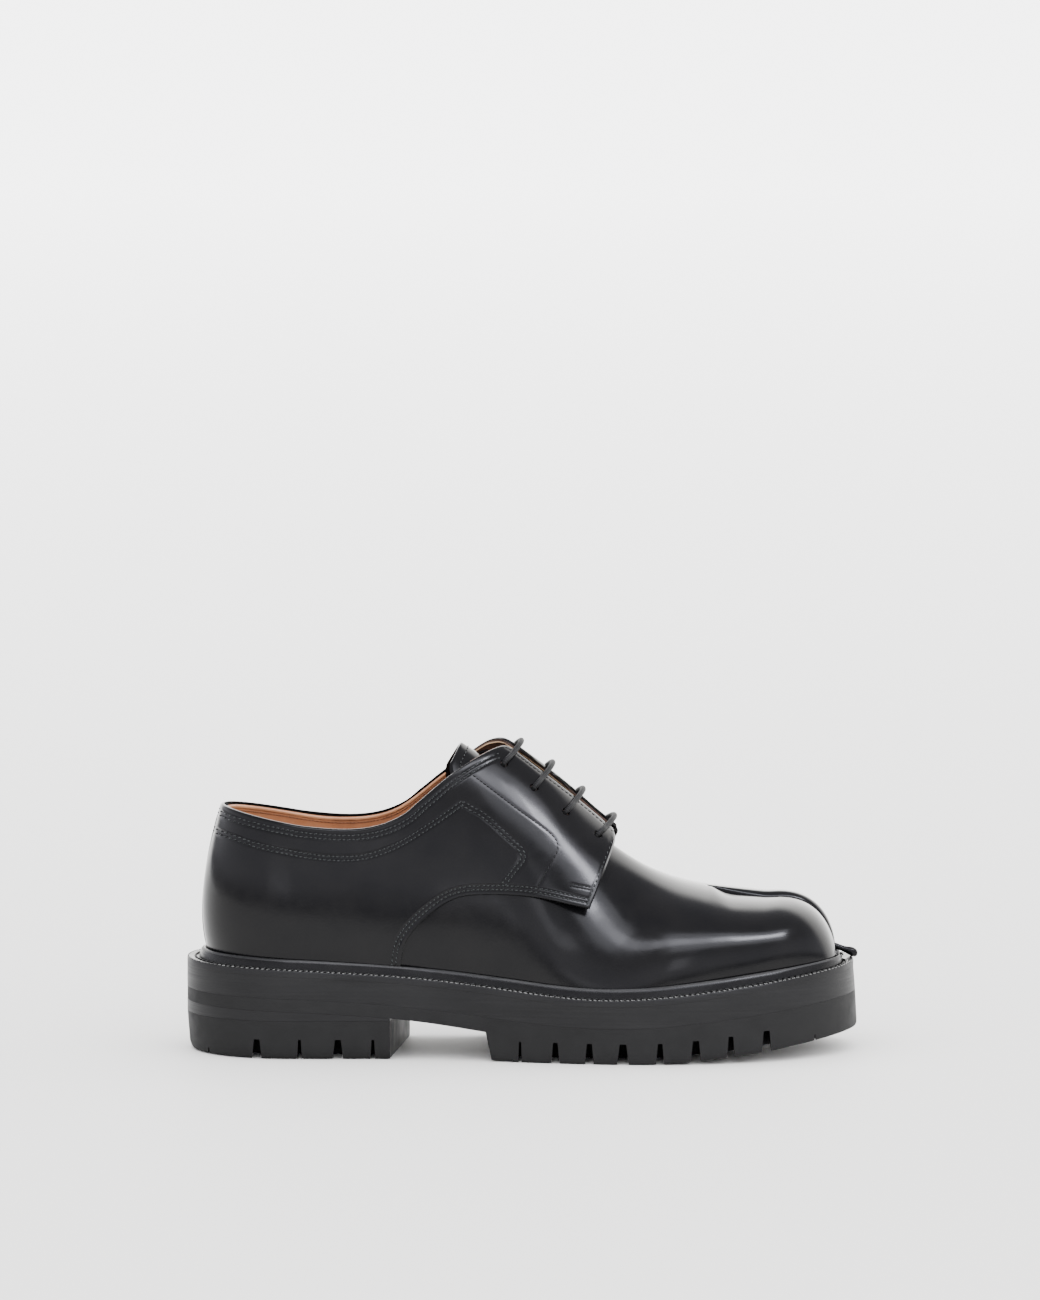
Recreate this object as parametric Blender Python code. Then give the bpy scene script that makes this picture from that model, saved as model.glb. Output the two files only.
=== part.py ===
# Split-toe derby shoe for the right foot, in metres.
# +X points to the toe, +Z is up, -Y is the outer (lateral) side, +Y the inner (medial) side.
import bmesh
import bpy
import numpy as np
from math import cos, pi, sin, sqrt

MM = 0.001
GAP = 0.3 * MM              # clearance between neighbouring pieces
WALL = 1.8 * MM             # upper's own wall
QUARTER_T = 1.3 * MM        # quarter leather over the upper
QUARTER_GAP = 0.45 * MM     # room between the two faceted skins
QUARTER_FOOT = 1.6 * MM     # its lower edge above the upper's
LATERAL = -1
MEDIAL = 1

# last: where the heel and the toe start to close
HEEL_X = -100 * MM
TOE_X = 110 * MM
CLEFT_X = 83 * MM           # back end of the toe cleft
NOTCH_X = 126 * MM          # from here on the cleft is cut down to the sole
CLEFT_GAP = 1.4 * MM
CLEFT_FLOOR = 3.0 * MM      # the cleft's floor stays this far above the seat
TIP_X = {LATERAL: 140 * MM, MEDIAL: 140.6 * MM}
TIP_Y = {LATERAL: -12 * MM, MEDIAL: 22 * MM}
LOBE_CREST = {LATERAL: 5 * MM, MEDIAL: 4.5 * MM}   # crest of each lobe, off the cleft, at TOE_X
LIP_STEP = (-2.5 * MM, -1.5 * MM)   # outer lobe over the ridge line, at the cleft's start and at the toe
TOE_POWER = 2.3
LOBE_POWER = 3.0
SLOT_HALF = 12 * MM         # throat slot under the facings
SLOT_FRONT = 34 * MM
SLOT_ROUND = 10 * MM

# sole
SOLE_HEEL_X = -105 * MM
SOLE_BACK_X = -150 * MM
SOLE_TOE_X = 95 * MM
SOLE_TIP_X = 148.4 * MM
SOLE_TIP_Y = 3 * MM
SOLE_POWER = 2.5
FLARE = 0.085               # the toe wall leans with the toe spring
FLARE_Z = 28 * MM
TREAD_X = -14 * MM          # back of the forefoot tread
HEEL_BREAST = {LATERAL: -59 * MM, MEDIAL: -51 * MM}
HEEL_TOP_Z = 17.1 * MM
HEEL_TAPER = 1.3 * MM
WELT_FLANGE = 3.0 * MM
RIDGE_H = 7.2 * MM
RIDGE_W = 2.2 * MM
INSOLE_T = 2.5 * MM
TONGUE_T = 2.0 * MM
LACE_R = 1.35 * MM
HOLE_R = 2.1 * MM


def table(names, rows):
    data = np.array(rows, float) * MM
    return {name: data[:, k] for k, name in enumerate(names.split())}


def smooth(xs, ys):
    """Natural cubic curve through the rows of a table column."""
    n = len(xs)
    h = np.diff(xs)
    a = np.eye(n)
    r = np.zeros(n)
    for i in range(1, n - 1):
        a[i, i - 1] = h[i - 1]
        a[i, i] = 2 * (h[i - 1] + h[i])
        a[i, i + 1] = h[i]
        r[i] = 6 * ((ys[i + 1] - ys[i]) / h[i] - (ys[i] - ys[i - 1]) / h[i - 1])
    m = np.linalg.solve(a, r)

    def at(x):
        x = np.clip(x, xs[0], xs[-1])
        i = np.clip(np.searchsorted(xs, x) - 1, 0, n - 2)
        p = xs[i + 1] - x
        q = x - xs[i]
        bend = (m[i] * p ** 3 + m[i + 1] * q ** 3) / (6 * h[i])
        low = (ys[i] / h[i] - m[i] * h[i] / 6) * p
        return bend + low + (ys[i + 1] / h[i] - m[i + 1] * h[i] / 6) * q

    return at


def curves(data):
    return {name: smooth(data["x"], data[name]) for name in data if name != "x"}


# a row for each cross section of the last: foot half widths, first handle, ridge handle, ridge, lift of the flaps
FORM = curves(table("x lat med swell rise reach_lat reach_med ridge split lift", [
    (-100, 31.0, 31.0, 12.5, 40, 8, 8, 173.0, 0.0, 0.0),
    (-70, 32.0, 29.5, 9.0, 39, 12, 11, 167.0, 0.0, 0.0),
    (-40, 34.0, 27.0, 5.5, 40, 18, 16, 154.0, 0.0, 0.5),
    (-15, 37.5, 28.5, 4.0, 46, 25, 22, 136.5, 0.0, 4.8),
    (10, 42.5, 34.5, 3.5, 40, 27, 24, 117.3, 0.0, 7.8),
    (35, 46.5, 42.0, 4.0, 31, 25.5, 24.5, 95.0, 1.0, 8.3),
    (60, 47.5, 46.5, 5.5, 32, 27, 26, 78.7, 3.0, 8.0),
    (85, 44.5, 46.5, 6.5, 30, 34, 28, 71.6, 5.5, 8.0),
    (110, 37.5, 43.0, 6.0, 25, 38, 30, 68.3, 7.0, 8.0),
]))

# a row for each station of the sole: edges, seat of the upper, top and bottom of the outsole sheet, floor side
SOLE = curves(table("x lat med seat plate tread floor", [
    (-150, 40.5, 40.5, 38.2, 28.0, 22.3, 0.0),
    (-119, 40.5, 40.5, 37.4, 27.4, 21.7, 0.0),
    (-84, 40.5, 38.5, 35.7, 25.9, 20.2, 0.0),
    (-44, 41.5, 35.5, 33.0, 22.8, 16.8, 0.0),
    (-4, 48.5, 39.5, 28.7, 18.4, 11.6, 0.0),
    (27, 54.5, 48.5, 25.7, 16.0, 9.5, 0.0),
    (53, 57.0, 55.5, 26.0, 16.2, 9.5, 0.0),
    (74, 56.2, 57.0, 28.0, 17.9, 10.8, 1.2),
    (95, 52.5, 55.0, 30.5, 20.2, 13.0, 3.3),
    (116, 46.0, 50.0, 33.1, 22.7, 15.4, 5.9),
    (134, 39.0, 45.0, 35.2, 24.8, 17.6, 8.3),
    (150, 33.0, 41.0, 37.0, 26.6, 19.6, 10.5),
]))

# back of the heel in side view, from the seat up (handles of one curve)
BACK = np.array([(-137.5, 38.5), (-156, 82), (-108, 173), (-100, 173)]) * MM

# collar height over the length
COLLAR = curves(table("x z", [
    (-136, 109.8), (-118, 106.3), (-104, 103.7), (-89, 101.6), (-79, 101.3), (-64, 103.0),
    (-54, 107.2), (-43, 115.9), (-33, 124.0), (-21, 131.6), (-10, 137.0),
]))

# the quarter in side view: a row for each line from its lower edge to its upper edge (-1 height = at the seat)
QUARTER = table("bottom_x bottom_z top_x top_z", [
    (-100, -1, -100, 102.9),
    (-84, -1, -80, 101.3),
    (-68, -1, -64, 103.0),
    (-57, -1, -53, 107.7),
    (-54, 43.0, -48, 111.7),
    (-51, 53.5, -43, 115.9),
    (-40, 64.8, -33, 124.0),
    (-29, 71.4, -21, 131.6),
    (-17, 73.0, -10, 135.8),
    (-5, 73.0, -2, 132.0),
    (8, 71.7, 13, 120.6),
    (20, 69.0, 27, 109.2),
    (29.6, 67.0, 41, 97.0),
])

# lace holes in side view
HOLES = table("x z", [(-8.7, 128.6), (4.5, 118.2), (18.4, 107.4), (32.5, 97.0)])
BAR_LEAN = 7 * MM           # how far a bar leans to the toe on its way up

# tongue: station of the last, how far it lies under the ridge, half width
TONGUE = table("x drop half", [
    (43, 4.2, 13), (30, 4.4, 14.5), (16, 4.8, 15.5), (3, 5.2, 16), (-9, 6.0, 16.5), (-17, 6.8, 16.5),
    (-21, 7.2, 14.5), (-23, 7.4, 9),
])

# tread notches: station, half width at the floor
HEEL_NOTCHES = table("x half", [(-118, 2.7), (-99, 1.3), (-82, 2.9), (-66.5, 1.3)])
TREAD_NOTCHES = table("x half", [
    (-1.3, 1.0), (14.3, 2.2), (29.3, 2.4), (44.1, 3.2), (60.5, 2.2), (76.3, 2.9), (91.8, 2.2), (107.7, 2.9),
])
NOTCH_DEPTH = 9.2 * MM
NOTCH_REACH = 19 * MM
ISLAND_SLOTS = table("x half", [(22, 2.0), (52, 2.0), (84, 2.0)])
CHANNEL_W = 4.0 * MM


HEEL_TURNS = [-1, -0.86, -0.72, -0.58, -0.44, -0.3, -0.15]   # stations round the heel
TOE_TURNS = [1.15, 1.3, 1.46, 1.62, 1.77, 1.9, 2.0]          # stations round the toe


def reset():
    for item in list(bpy.data.objects):
        bpy.data.objects.remove(item, do_unlink=True)


def paint(obj, name, colour, roughness):
    material = bpy.data.materials.new(name)
    material.use_nodes = True
    shader = material.node_tree.nodes["Principled BSDF"]
    shader.inputs["Base Color"].default_value = (*colour, 1.0)
    shader.inputs["Roughness"].default_value = roughness
    obj.data.materials.append(material)


def make(name, points, faces, merge=0.0):
    mesh = bpy.data.meshes.new(name)
    mesh.from_pydata([tuple(p) for p in points], [], faces)
    body = bmesh.new()
    body.from_mesh(mesh)
    if merge:
        bmesh.ops.remove_doubles(body, verts=body.verts, dist=merge)
    bmesh.ops.recalc_face_normals(body, faces=body.faces)
    body.to_mesh(mesh)
    body.free()
    obj = bpy.data.objects.new(name, mesh)
    bpy.context.collection.objects.link(obj)
    return obj


def bezier(handles, t):
    t = np.asarray(t, float)[:, None]
    s = 1 - t
    a, b, c, d = [np.asarray(h, float) for h in handles]
    return a * s ** 3 + 3 * b * t * s * s + 3 * c * t * t * s + d * t ** 3


def seat_z(x):
    return float(SOLE["seat"](x)) + GAP


def section(x, side, lifted):
    """Handles (y, z) of one side's cross section, from the foot up to the ridge."""
    foot = float(FORM["lat" if side < 0 else "med"](x))
    reach = float(FORM["reach_lat" if side < 0 else "reach_med"](x))
    split = float(FORM["split"](x))
    low = seat_z(x)
    top = float(FORM["ridge"](x)) + lifted * float(FORM["lift"](x))
    swell = float(FORM["swell"](x))
    rise = float(FORM["rise"](x))
    return [
        (side * foot, low),
        (side * (foot + swell), low + rise),
        (split + side * reach, top),
        (split, top),
    ]


def wall(u, t, side, lifted=0):
    """Points of one side of the last at station u: below 0 round the heel, 0 to 1 along the body."""
    t = np.asarray(t, float)
    if u < 0:
        turn = (u + 1) * pi / 2
        flat = bezier(section(HEEL_X, side, lifted), t)
        back = bezier(BACK, t)
        x = HEEL_X + (back[:, 0] - HEEL_X) * cos(turn)
        y = flat[:, 0] * sin(turn)
        z = flat[:, 1] + (back[:, 1] - flat[:, 1]) * cos(turn) ** 2
        foot_x = HEEL_X + (BACK[0][0] - HEEL_X) * cos(turn)
        foot_z = seat_z(HEEL_X) + (BACK[0][1] - seat_z(HEEL_X)) * cos(turn) ** 2
        z += (seat_z(foot_x) - foot_z) * (1 - t) ** 3
        return np.stack([x, y, z], 1)
    x = HEEL_X + (TOE_X - HEEL_X) * u
    flat = bezier(section(x, side, lifted), t)
    return np.stack([np.full(len(t), x), flat[:, 0], flat[:, 1]], 1)


def outward(u, t, side, lifted=0):
    """Unit normals of the last, pointing out of the shoe."""
    t = np.asarray(t, float)
    du = 0.003
    u0 = max(u - du, -1.0)
    along = wall(u + du, t, side, lifted) - wall(u0, t, side, lifted)
    up = wall(u, np.minimum(t + 0.01, 1), side, lifted) - wall(u, np.maximum(t - 0.01, 0), side, lifted)
    normal = np.cross(along, up) * -side
    return normal / np.linalg.norm(normal, axis=1)[:, None]


def body_u(x):
    return (x - HEEL_X) / (TOE_X - HEEL_X)


def height_t(u, z, side, lifted=0):
    """Where a section reaches a height."""
    t = np.linspace(0, 1, 401)
    return np.interp(z, wall(u, t, side, lifted)[:, 2], t)


def skin(x, z, side, out):
    """Point of the quarter's form at a place in side view, moved outward."""
    u = body_u(x)
    t = np.array([height_t(u, z, side, 1)])
    return wall(u, t, side, 1)[0] + outward(u, t, side, 1)[0] * out


def superellipse(q, power):
    return max(0.0, 1 - q ** power) ** (1 / power)


def lobe_plan(x, side):
    """Outer foot, inner edge and closing factor of a toe lobe at x."""
    split = float(FORM["split"](min(x, TOE_X)))
    foot = side * float(FORM["lat" if side < 0 else "med"](min(x, TOE_X)))
    gap = CLEFT_GAP * min(1.0, max(0.0, x - CLEFT_X) / (6 * MM))
    inner = split + side * gap / 2
    if x <= TOE_X:
        return foot, inner, 1.0
    q = min(1.0, (x - TOE_X) / (TIP_X[side] - TOE_X))
    foot += -side * 0.3 * (x - TOE_X)
    close = superellipse(q, TOE_POWER)
    foot = TIP_Y[side] + (foot - TIP_Y[side]) * close
    inner = TIP_Y[side] + (inner - TIP_Y[side]) * superellipse(q, LOBE_POWER)
    return foot, inner, close


def lobe_path(x, side, arch, roll, drop_columns):
    """Columns of a toe lobe's section: up its outer wall, over its crest and down into the cleft."""
    foot, inner, close = lobe_plan(x, side)
    low = seat_z(x)
    at = min(x, TOE_X)
    grow = min(1.0, (x - CLEFT_X) / (TOE_X - CLEFT_X))
    crest_z = float(FORM["ridge"](at))
    floor_top = crest_z
    if side < 0:
        step = LIP_STEP[0] + (LIP_STEP[1] - LIP_STEP[0]) * grow
        crest_z += step * (1 - cos(pi * min(1.0, (x - CLEFT_X) / (10 * MM)))) / 2
    crest_z = low + (crest_z - seat_z(at)) * close
    floor_top = low + (floor_top - seat_z(at)) * close
    width = abs(inner - foot)
    share = LOBE_CREST[side] * sqrt(grow) / abs(lobe_plan(at, side)[1] - lobe_plan(at, side)[0])
    share += (0.3 - share) * (1 - close) if x > TOE_X else 0.0
    crest_y = inner + side * share * width
    swell = float(FORM["swell"](at)) * close
    rise = float(FORM["rise"](at)) * close
    reach = (0.67 + 0.15 * grow) * (0.1 + 0.9 * close) * abs(foot - crest_y)
    handles = [
        (foot, low),
        (foot + side * swell, low + rise),
        (crest_y + side * reach, crest_z),
        (crest_y, crest_z),
    ]
    points = [tuple(p) for p in bezier(handles, np.array(arch))]
    deep = sin(min(1.0, (x - CLEFT_X) / (NOTCH_X - CLEFT_X)) * pi / 2)
    bottom = floor_top - (floor_top - low) * deep
    if x <= NOTCH_X + 2 * MM:
        bottom = max(bottom, low + CLEFT_FLOOR)
    lean = 0.5 * MM * min(1.0, width / (10 * MM))
    side_y = inner + side * lean
    depth = min(0.75 * abs(crest_y - side_y), crest_z - bottom)
    for angle in roll:
        y = crest_y + (side_y - crest_y) * sin(angle)
        points.append((y, crest_z - depth * (1 - cos(angle))))
    for part in drop_columns:
        y = side_y + (inner - side_y) * part
        points.append((y, crest_z - depth - (crest_z - depth - bottom) * part))
    return [(x, y, z) for y, z in points]


def upper_half(side, stations, arch, roll, drop_columns):
    """Rows of columns of the upper's outer face, trimmed at the collar and the throat."""
    rows = []
    count = len(arch) + len(roll) + len(drop_columns)
    spread = np.concatenate([np.array(arch) * 0.9, 0.9 + 0.1 * np.arange(1, count - len(arch) + 1)
                             / (count - len(arch))])
    for u in stations:
        if u > 1:
            rows.append(lobe_path(toe_x(u, side), side, arch, roll, drop_columns))
            continue
        x = HEEL_X + (TOE_X - HEEL_X) * u
        if x > CLEFT_X:
            rows.append(lobe_path(x, side, arch, roll, drop_columns))
            continue
        end = 1.0
        dense = np.linspace(0, 1, 401)
        line = wall(u, dense, side)
        if x < SLOT_FRONT:
            at = x if u > 0 else float(np.interp(0.4, dense, line[:, 0]))
            if at < -10 * MM:
                end = float(np.interp(float(COLLAR["z"](at)) - 1.2 * MM, line[:, 2], dense))
            if x > -40 * MM:
                near = max(0.0, x - (SLOT_FRONT - SLOT_ROUND)) / SLOT_ROUND
                half = SLOT_HALF * sqrt(max(0.0, 1 - near ** 2))
                off = np.abs(line[:, 1] - float(FORM["split"](x)))
                end = min(end, float(np.interp(-half, -off[100:], dense[100:])))
        rows.append([tuple(p) for p in wall(u, spread * end, side)])
    return rows


def body_stations(millimetres):
    return [body_u(x * MM) for x in millimetres]


def build_upper():
    body = body_stations([-100, -86, -72, -58, -46, -35, -25, -16, -6, 5, 16, 24, 28.5, 32, 34.2, 40, 50, 61,
                          72, 82, 84.5, 88, 94, 102, 110])
    stations = HEEL_TURNS + body + TOE_TURNS
    arch = np.linspace(0, 1, 9)
    roll = np.radians([35, 65, 90])
    drop_columns = [0.5, 1.0]
    sides = {s: upper_half(s, stations, arch, roll, drop_columns) for s in (LATERAL, MEDIAL)}
    columns = len(sides[LATERAL][0])
    points = []
    index = {}
    for side, rows in sides.items():
        for i, row in enumerate(rows):
            for j, p in enumerate(row):
                index[side, i, j] = len(points)
                points.append(p)
    faces = []
    for i in range(len(stations) - 1):
        for side in (LATERAL, MEDIAL):
            for j in range(columns - 1):
                quad = [index[side, i, j], index[side, i + 1, j], index[side, i + 1, j + 1], index[side, i, j + 1]]
                faces.append(quad if side < 0 else quad[::-1])
        front = sides[LATERAL][i + 1][-1][0]
        if sides[LATERAL][i][-1][0] > 80 * MM and front <= NOTCH_X + 2 * MM:
            j = columns - 1
            faces.append([index[LATERAL, i, j], index[LATERAL, i + 1, j],
                          index[MEDIAL, i + 1, j], index[MEDIAL, i, j]])
    obj = make("upper", points, faces, 0.02 * MM)
    shell = obj.modifiers.new("wall", "SOLIDIFY")
    shell.thickness = WALL
    shell.offset = -1
    shell.use_even_offset = False
    shell.use_rim = True
    paint(obj, "upper_leather", (0.012, 0.012, 0.013), 0.25)
    return obj


def sheet(name, outer, inner):
    """Closed solid between two equal grids of points."""
    rows = len(outer)
    cols = len(outer[0])
    points = [p for grid in (outer, inner) for row in grid for p in row]
    size = rows * cols

    def at(layer, i, j):
        return layer * size + i * cols + j

    faces = []
    for i in range(rows - 1):
        for j in range(cols - 1):
            faces.append([at(0, i, j), at(0, i + 1, j), at(0, i + 1, j + 1), at(0, i, j + 1)])
            faces.append([at(1, i, j), at(1, i, j + 1), at(1, i + 1, j + 1), at(1, i + 1, j)])
    for i in range(rows - 1):
        for j in (0, cols - 1):
            faces.append([at(0, i, j), at(0, i + 1, j), at(1, i + 1, j), at(1, i, j)])
    for j in range(cols - 1):
        for i in (0, rows - 1):
            faces.append([at(0, i, j), at(0, i, j + 1), at(1, i, j + 1), at(1, i, j)])
    return make(name, points, faces)


def quarter_grid(side, out, heel_turns, shares):
    """Grid of the quarter at a distance from the last: round the heel, then line by line to the front."""
    grid = []
    for u in heel_turns:
        top = np.linspace(0, 1, 401)
        line = wall(u, top, side, 1)
        at = float(np.interp(0.4, top, line[:, 0]))
        end = float(np.interp(float(COLLAR["z"](at)), line[:, 2], top))
        start = float(np.interp(line[0, 2] + QUARTER_FOOT, line[:, 2], top))
        t = start + (end - start) * np.array(shares)
        points = wall(u, t, side, 1) + outward(u, t, side, 1) * out
        if u < -0.99:
            points[:, 1] = side * GAP / 2
        grid.append([tuple(p) for p in points])
    for k in range(len(QUARTER["top_x"])):
        bottom_x = QUARTER["bottom_x"][k]
        bottom_z = QUARTER["bottom_z"][k]
        if bottom_z < 0:
            bottom_z = seat_z(bottom_x) + QUARTER_FOOT
        row = []
        for w in shares:
            x = bottom_x + (QUARTER["top_x"][k] - bottom_x) * w
            z = bottom_z + (QUARTER["top_z"][k] - bottom_z) * w
            row.append(tuple(skin(x, z, side, out)))
        grid.append(row)
    return grid


def join_bodies(name, bodies):
    """One mesh of several closed pieces, used as a cutter."""
    points = []
    faces = []
    for body_points, body_faces in bodies:
        base = len(points)
        points += body_points
        faces += [[base + i for i in face] for face in body_faces]
    return make(name, points, faces)


def cut(obj, cutter):
    cutter.hide_render = True
    cutter.display_type = "WIRE"
    change = obj.modifiers.new("cut", "BOOLEAN")
    change.operation = "DIFFERENCE"
    change.solver = "EXACT"
    change.object = cutter


def rod(path, radius, sides):
    """Closed round rod along a path of points."""
    path = np.array(path)
    ahead = np.gradient(path, axis=0)
    ahead /= np.linalg.norm(ahead, axis=1)[:, None]
    points = []
    guide = np.array((1.0, 0, 0)) if abs(ahead[0][0]) < 0.8 else np.array((0, 0, 1.0))
    for p, d in zip(path, ahead):
        a = guide - d * np.dot(guide, d)
        a /= np.linalg.norm(a)
        b = np.cross(d, a)
        for k in range(sides):
            angle = 2 * pi * k / sides
            points.append(tuple(p + radius * (a * cos(angle) + b * sin(angle))))
    faces = []
    for i in range(len(path) - 1):
        for k in range(sides):
            n = (k + 1) % sides
            faces.append([i * sides + k, i * sides + n, (i + 1) * sides + n, (i + 1) * sides + k])
    faces.append(list(range(sides))[::-1])
    faces.append([(len(path) - 1) * sides + k for k in range(sides)])
    return points, faces


def build_quarters():
    shares = np.linspace(0, 1, 11)
    for side, name in ((LATERAL, "quarter_lateral"), (MEDIAL, "quarter_medial")):
        outer = quarter_grid(side, QUARTER_GAP + QUARTER_T, HEEL_TURNS, shares)
        inner = quarter_grid(side, QUARTER_GAP, HEEL_TURNS, shares)
        obj = sheet(name, outer, inner)
        drills = []
        for x, z in zip(HOLES["x"], HOLES["z"]):
            middle = skin(x, z, side, QUARTER_GAP + QUARTER_T / 2)
            u = body_u(x)
            axis = outward(u, [height_t(u, z, side, 1)], side, 1)[0]
            drills.append(rod([middle - axis * 3 * MM, middle + axis * 3 * MM], HOLE_R, 10))
        cut(obj, join_bodies(name + "_holes", drills))
        paint(obj, name + "_leather", (0.013, 0.013, 0.014), 0.25)


def ridge_frame(x):
    """Ridge point of the last in side view and its upward direction."""
    d = 0.5 * MM
    slope = float(FORM["ridge"](x + d) - FORM["ridge"](x - d)) / (2 * d)
    length = sqrt(1 + slope * slope)
    return np.array((-slope / length, 0, 1 / length))


def build_tongue():
    layers = []
    for extra in (0.0, TONGUE_T):
        grid = []
        for x, drop, half in zip(TONGUE["x"], TONGUE["drop"], TONGUE["half"]):
            u = body_u(x)
            up = ridge_frame(x)
            dense = np.linspace(0.3, 1, 301)
            row = []
            for side in (LATERAL, MEDIAL):
                line = wall(u, dense, side)
                off = np.abs(line[:, 1] - float(FORM["split"](x)))
                start = float(np.interp(-half, -off, dense))
                part = wall(u, np.linspace(start, 1, 5), side) - up * (drop + extra)
                row += list(part) if side < 0 else list(part[::-1][1:])
            grid.append([tuple(p) for p in row])
        layers.append(grid)
    obj = sheet("tongue", layers[0], layers[1])
    paint(obj, "tongue_leather", (0.014, 0.014, 0.015), 0.3)


def sole_point(x, side, inset, z):
    """Edge point of the sole at x; the toe wall leans with its height."""
    edge = side * (float(SOLE["lat" if side < 0 else "med"](x)) - inset)
    if x < SOLE_HEEL_X:
        reach = SOLE_HEEL_X - SOLE_BACK_X
        q = (SOLE_HEEL_X - x) / reach
        edge *= sqrt(max(0.0, 1 - q * q))
        x = SOLE_HEEL_X - q * (reach - inset)
    if x > SOLE_TOE_X:
        q = (x - SOLE_TOE_X) / (SOLE_TIP_X - SOLE_TOE_X)
        edge = SOLE_TIP_Y + (edge - SOLE_TIP_Y) * superellipse(min(1.0, q), SOLE_POWER)
        x = SOLE_TOE_X + q * (SOLE_TIP_X - SOLE_TOE_X - inset)
    lean = min(1.0, max(0.0, (x - 60 * MM) / (80 * MM)))
    return (x + FLARE * lean * (FLARE_Z - z), edge, z)


def sole_stations(heel=6, toe=8, body=()):
    back = [SOLE_HEEL_X - (SOLE_HEEL_X - SOLE_BACK_X) * cos(pi / 2 * k / heel) for k in range(heel)]
    front = [SOLE_TOE_X + (SOLE_TIP_X - SOLE_TOE_X) * sin(pi / 2 * k / toe) for k in range(toe + 1)]
    return back + [SOLE_HEEL_X] + list(body) + front


def layered(name, stations, rings):
    """Solid from stations across the sole; each ring is (height function, inset)."""
    points = []
    faces = []
    depth = len(rings)
    around = 2 * depth
    for x in stations:
        for side, order in ((LATERAL, rings), (MEDIAL, rings[::-1])):
            for height, inset in order:
                points.append(sole_point(x, side, inset, height(x)))
    for i in range(len(stations) - 1):
        for k in range(around):
            n = (k + 1) % around
            faces.append([i * around + k, i * around + n, (i + 1) * around + n, (i + 1) * around + k])
    faces.append(list(range(around)))
    faces.append([(len(stations) - 1) * around + k for k in range(around)][::-1])
    return points, faces


BODY_X = [x * MM for x in (-84, -64, -44, -29, -16.5, -14, -4, 11, 27, 40, 53, 64, 74, 85)]


def build_midsole():
    body = [x for x in BODY_X if x != TREAD_X]
    points, faces = layered("midsole", sole_stations(body=body), [
        (lambda x: float(SOLE["seat"](x)), 0.0),
        (lambda x: float(SOLE["plate"](x)), 0.0),
    ])
    obj = make("midsole", points, faces, 0.01 * MM)
    paint(obj, "midsole_edge", (0.03, 0.03, 0.031), 0.45)


def wedge(x, half, side, high, low, reach):
    """Tapered notch cutter from outside the edge inward, narrow at its top."""
    edge = abs(sole_point(x, side, 0.0, low)[1])
    y0 = side * (edge + 12 * MM)
    y1 = side * (edge - reach)
    top = half * 0.55
    points = []
    for y in (y0, y1):
        points += [(x - half, y, low), (x + half, y, low), (x + top, y, high), (x - top, y, high)]
    faces = [[0, 1, 2, 3], [7, 6, 5, 4], [0, 4, 5, 1], [1, 5, 6, 2], [2, 6, 7, 3], [3, 7, 4, 0]]
    return points, faces


def strip(xs, y, half, high, low):
    """Long channel cutter that follows the tread."""
    points = []
    for x in xs:
        for dy, z in ((-half, low(x)), (half, low(x)), (half, high(x)), (-half, high(x))):
            points.append((x, y(x) + dy, z))
    faces = []
    for i in range(len(xs) - 1):
        for k in range(4):
            n = (k + 1) % 4
            faces.append([i * 4 + k, i * 4 + n, i * 4 + 4 + n, i * 4 + 4 + k])
    faces.append([0, 1, 2, 3])
    faces.append([len(xs) * 4 - 1 - k for k in range(4)])
    return points, faces


def outsole_floor(x):
    if x <= -16.4 * MM:
        return float(SOLE["tread"](x))
    if x < -4.5 * MM:
        return 0.6 * MM
    return max(0.0, float(SOLE["floor"](x)))


def build_outsole():
    points, faces = layered("outsole", sole_stations(body=BODY_X), [
        (lambda x: float(SOLE["plate"](x)) - GAP, 0.0),
        (outsole_floor, 0.6 * MM),
    ])
    obj = make("outsole", points, faces, 0.01 * MM)
    notches = []
    for x, half in zip(TREAD_NOTCHES["x"], TREAD_NOTCHES["half"]):
        for side in (LATERAL, MEDIAL):
            high = float(SOLE["floor"](x)) + NOTCH_DEPTH
            notches.append(wedge(x, half, side, high, -5 * MM, NOTCH_REACH))
    cut(obj, join_bodies("tread_notches", notches))
    xs = [x * MM for x in (3, 25, 50, 74, 95, 113)]
    high = (lambda x: float(SOLE["floor"](x)) + NOTCH_DEPTH - 1.5 * MM)
    low = (lambda x: -5 * MM)
    channels = []
    for side in (LATERAL, MEDIAL):
        line = (lambda x, s=side: sole_point(x, s, NOTCH_REACH, 0.0)[1])
        channels.append(strip(xs, line, CHANNEL_W / 2, high, low))
    cut(obj, join_bodies("tread_channels", channels))
    slots = []
    for x, half in zip(ISLAND_SLOTS["x"], ISLAND_SLOTS["half"]):
        y0 = sole_point(x, LATERAL, NOTCH_REACH, 0.0)[1]
        y1 = sole_point(x, MEDIAL, NOTCH_REACH, 0.0)[1]
        z = high(x) - 1 * MM
        slot = [(x - half, y0, -5 * MM), (x + half, y0, -5 * MM), (x + half, y0, z), (x - half, y0, z)]
        slot += [(px, y1, pz) for px, _, pz in slot]
        box = [[0, 1, 2, 3], [7, 6, 5, 4], [0, 4, 5, 1], [1, 5, 6, 2], [2, 6, 7, 3], [3, 7, 4, 0]]
        slots.append((slot, box))
    cut(obj, join_bodies("tread_slots", slots))
    paint(obj, "outsole_rubber", (0.02, 0.02, 0.02), 0.7)


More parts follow.
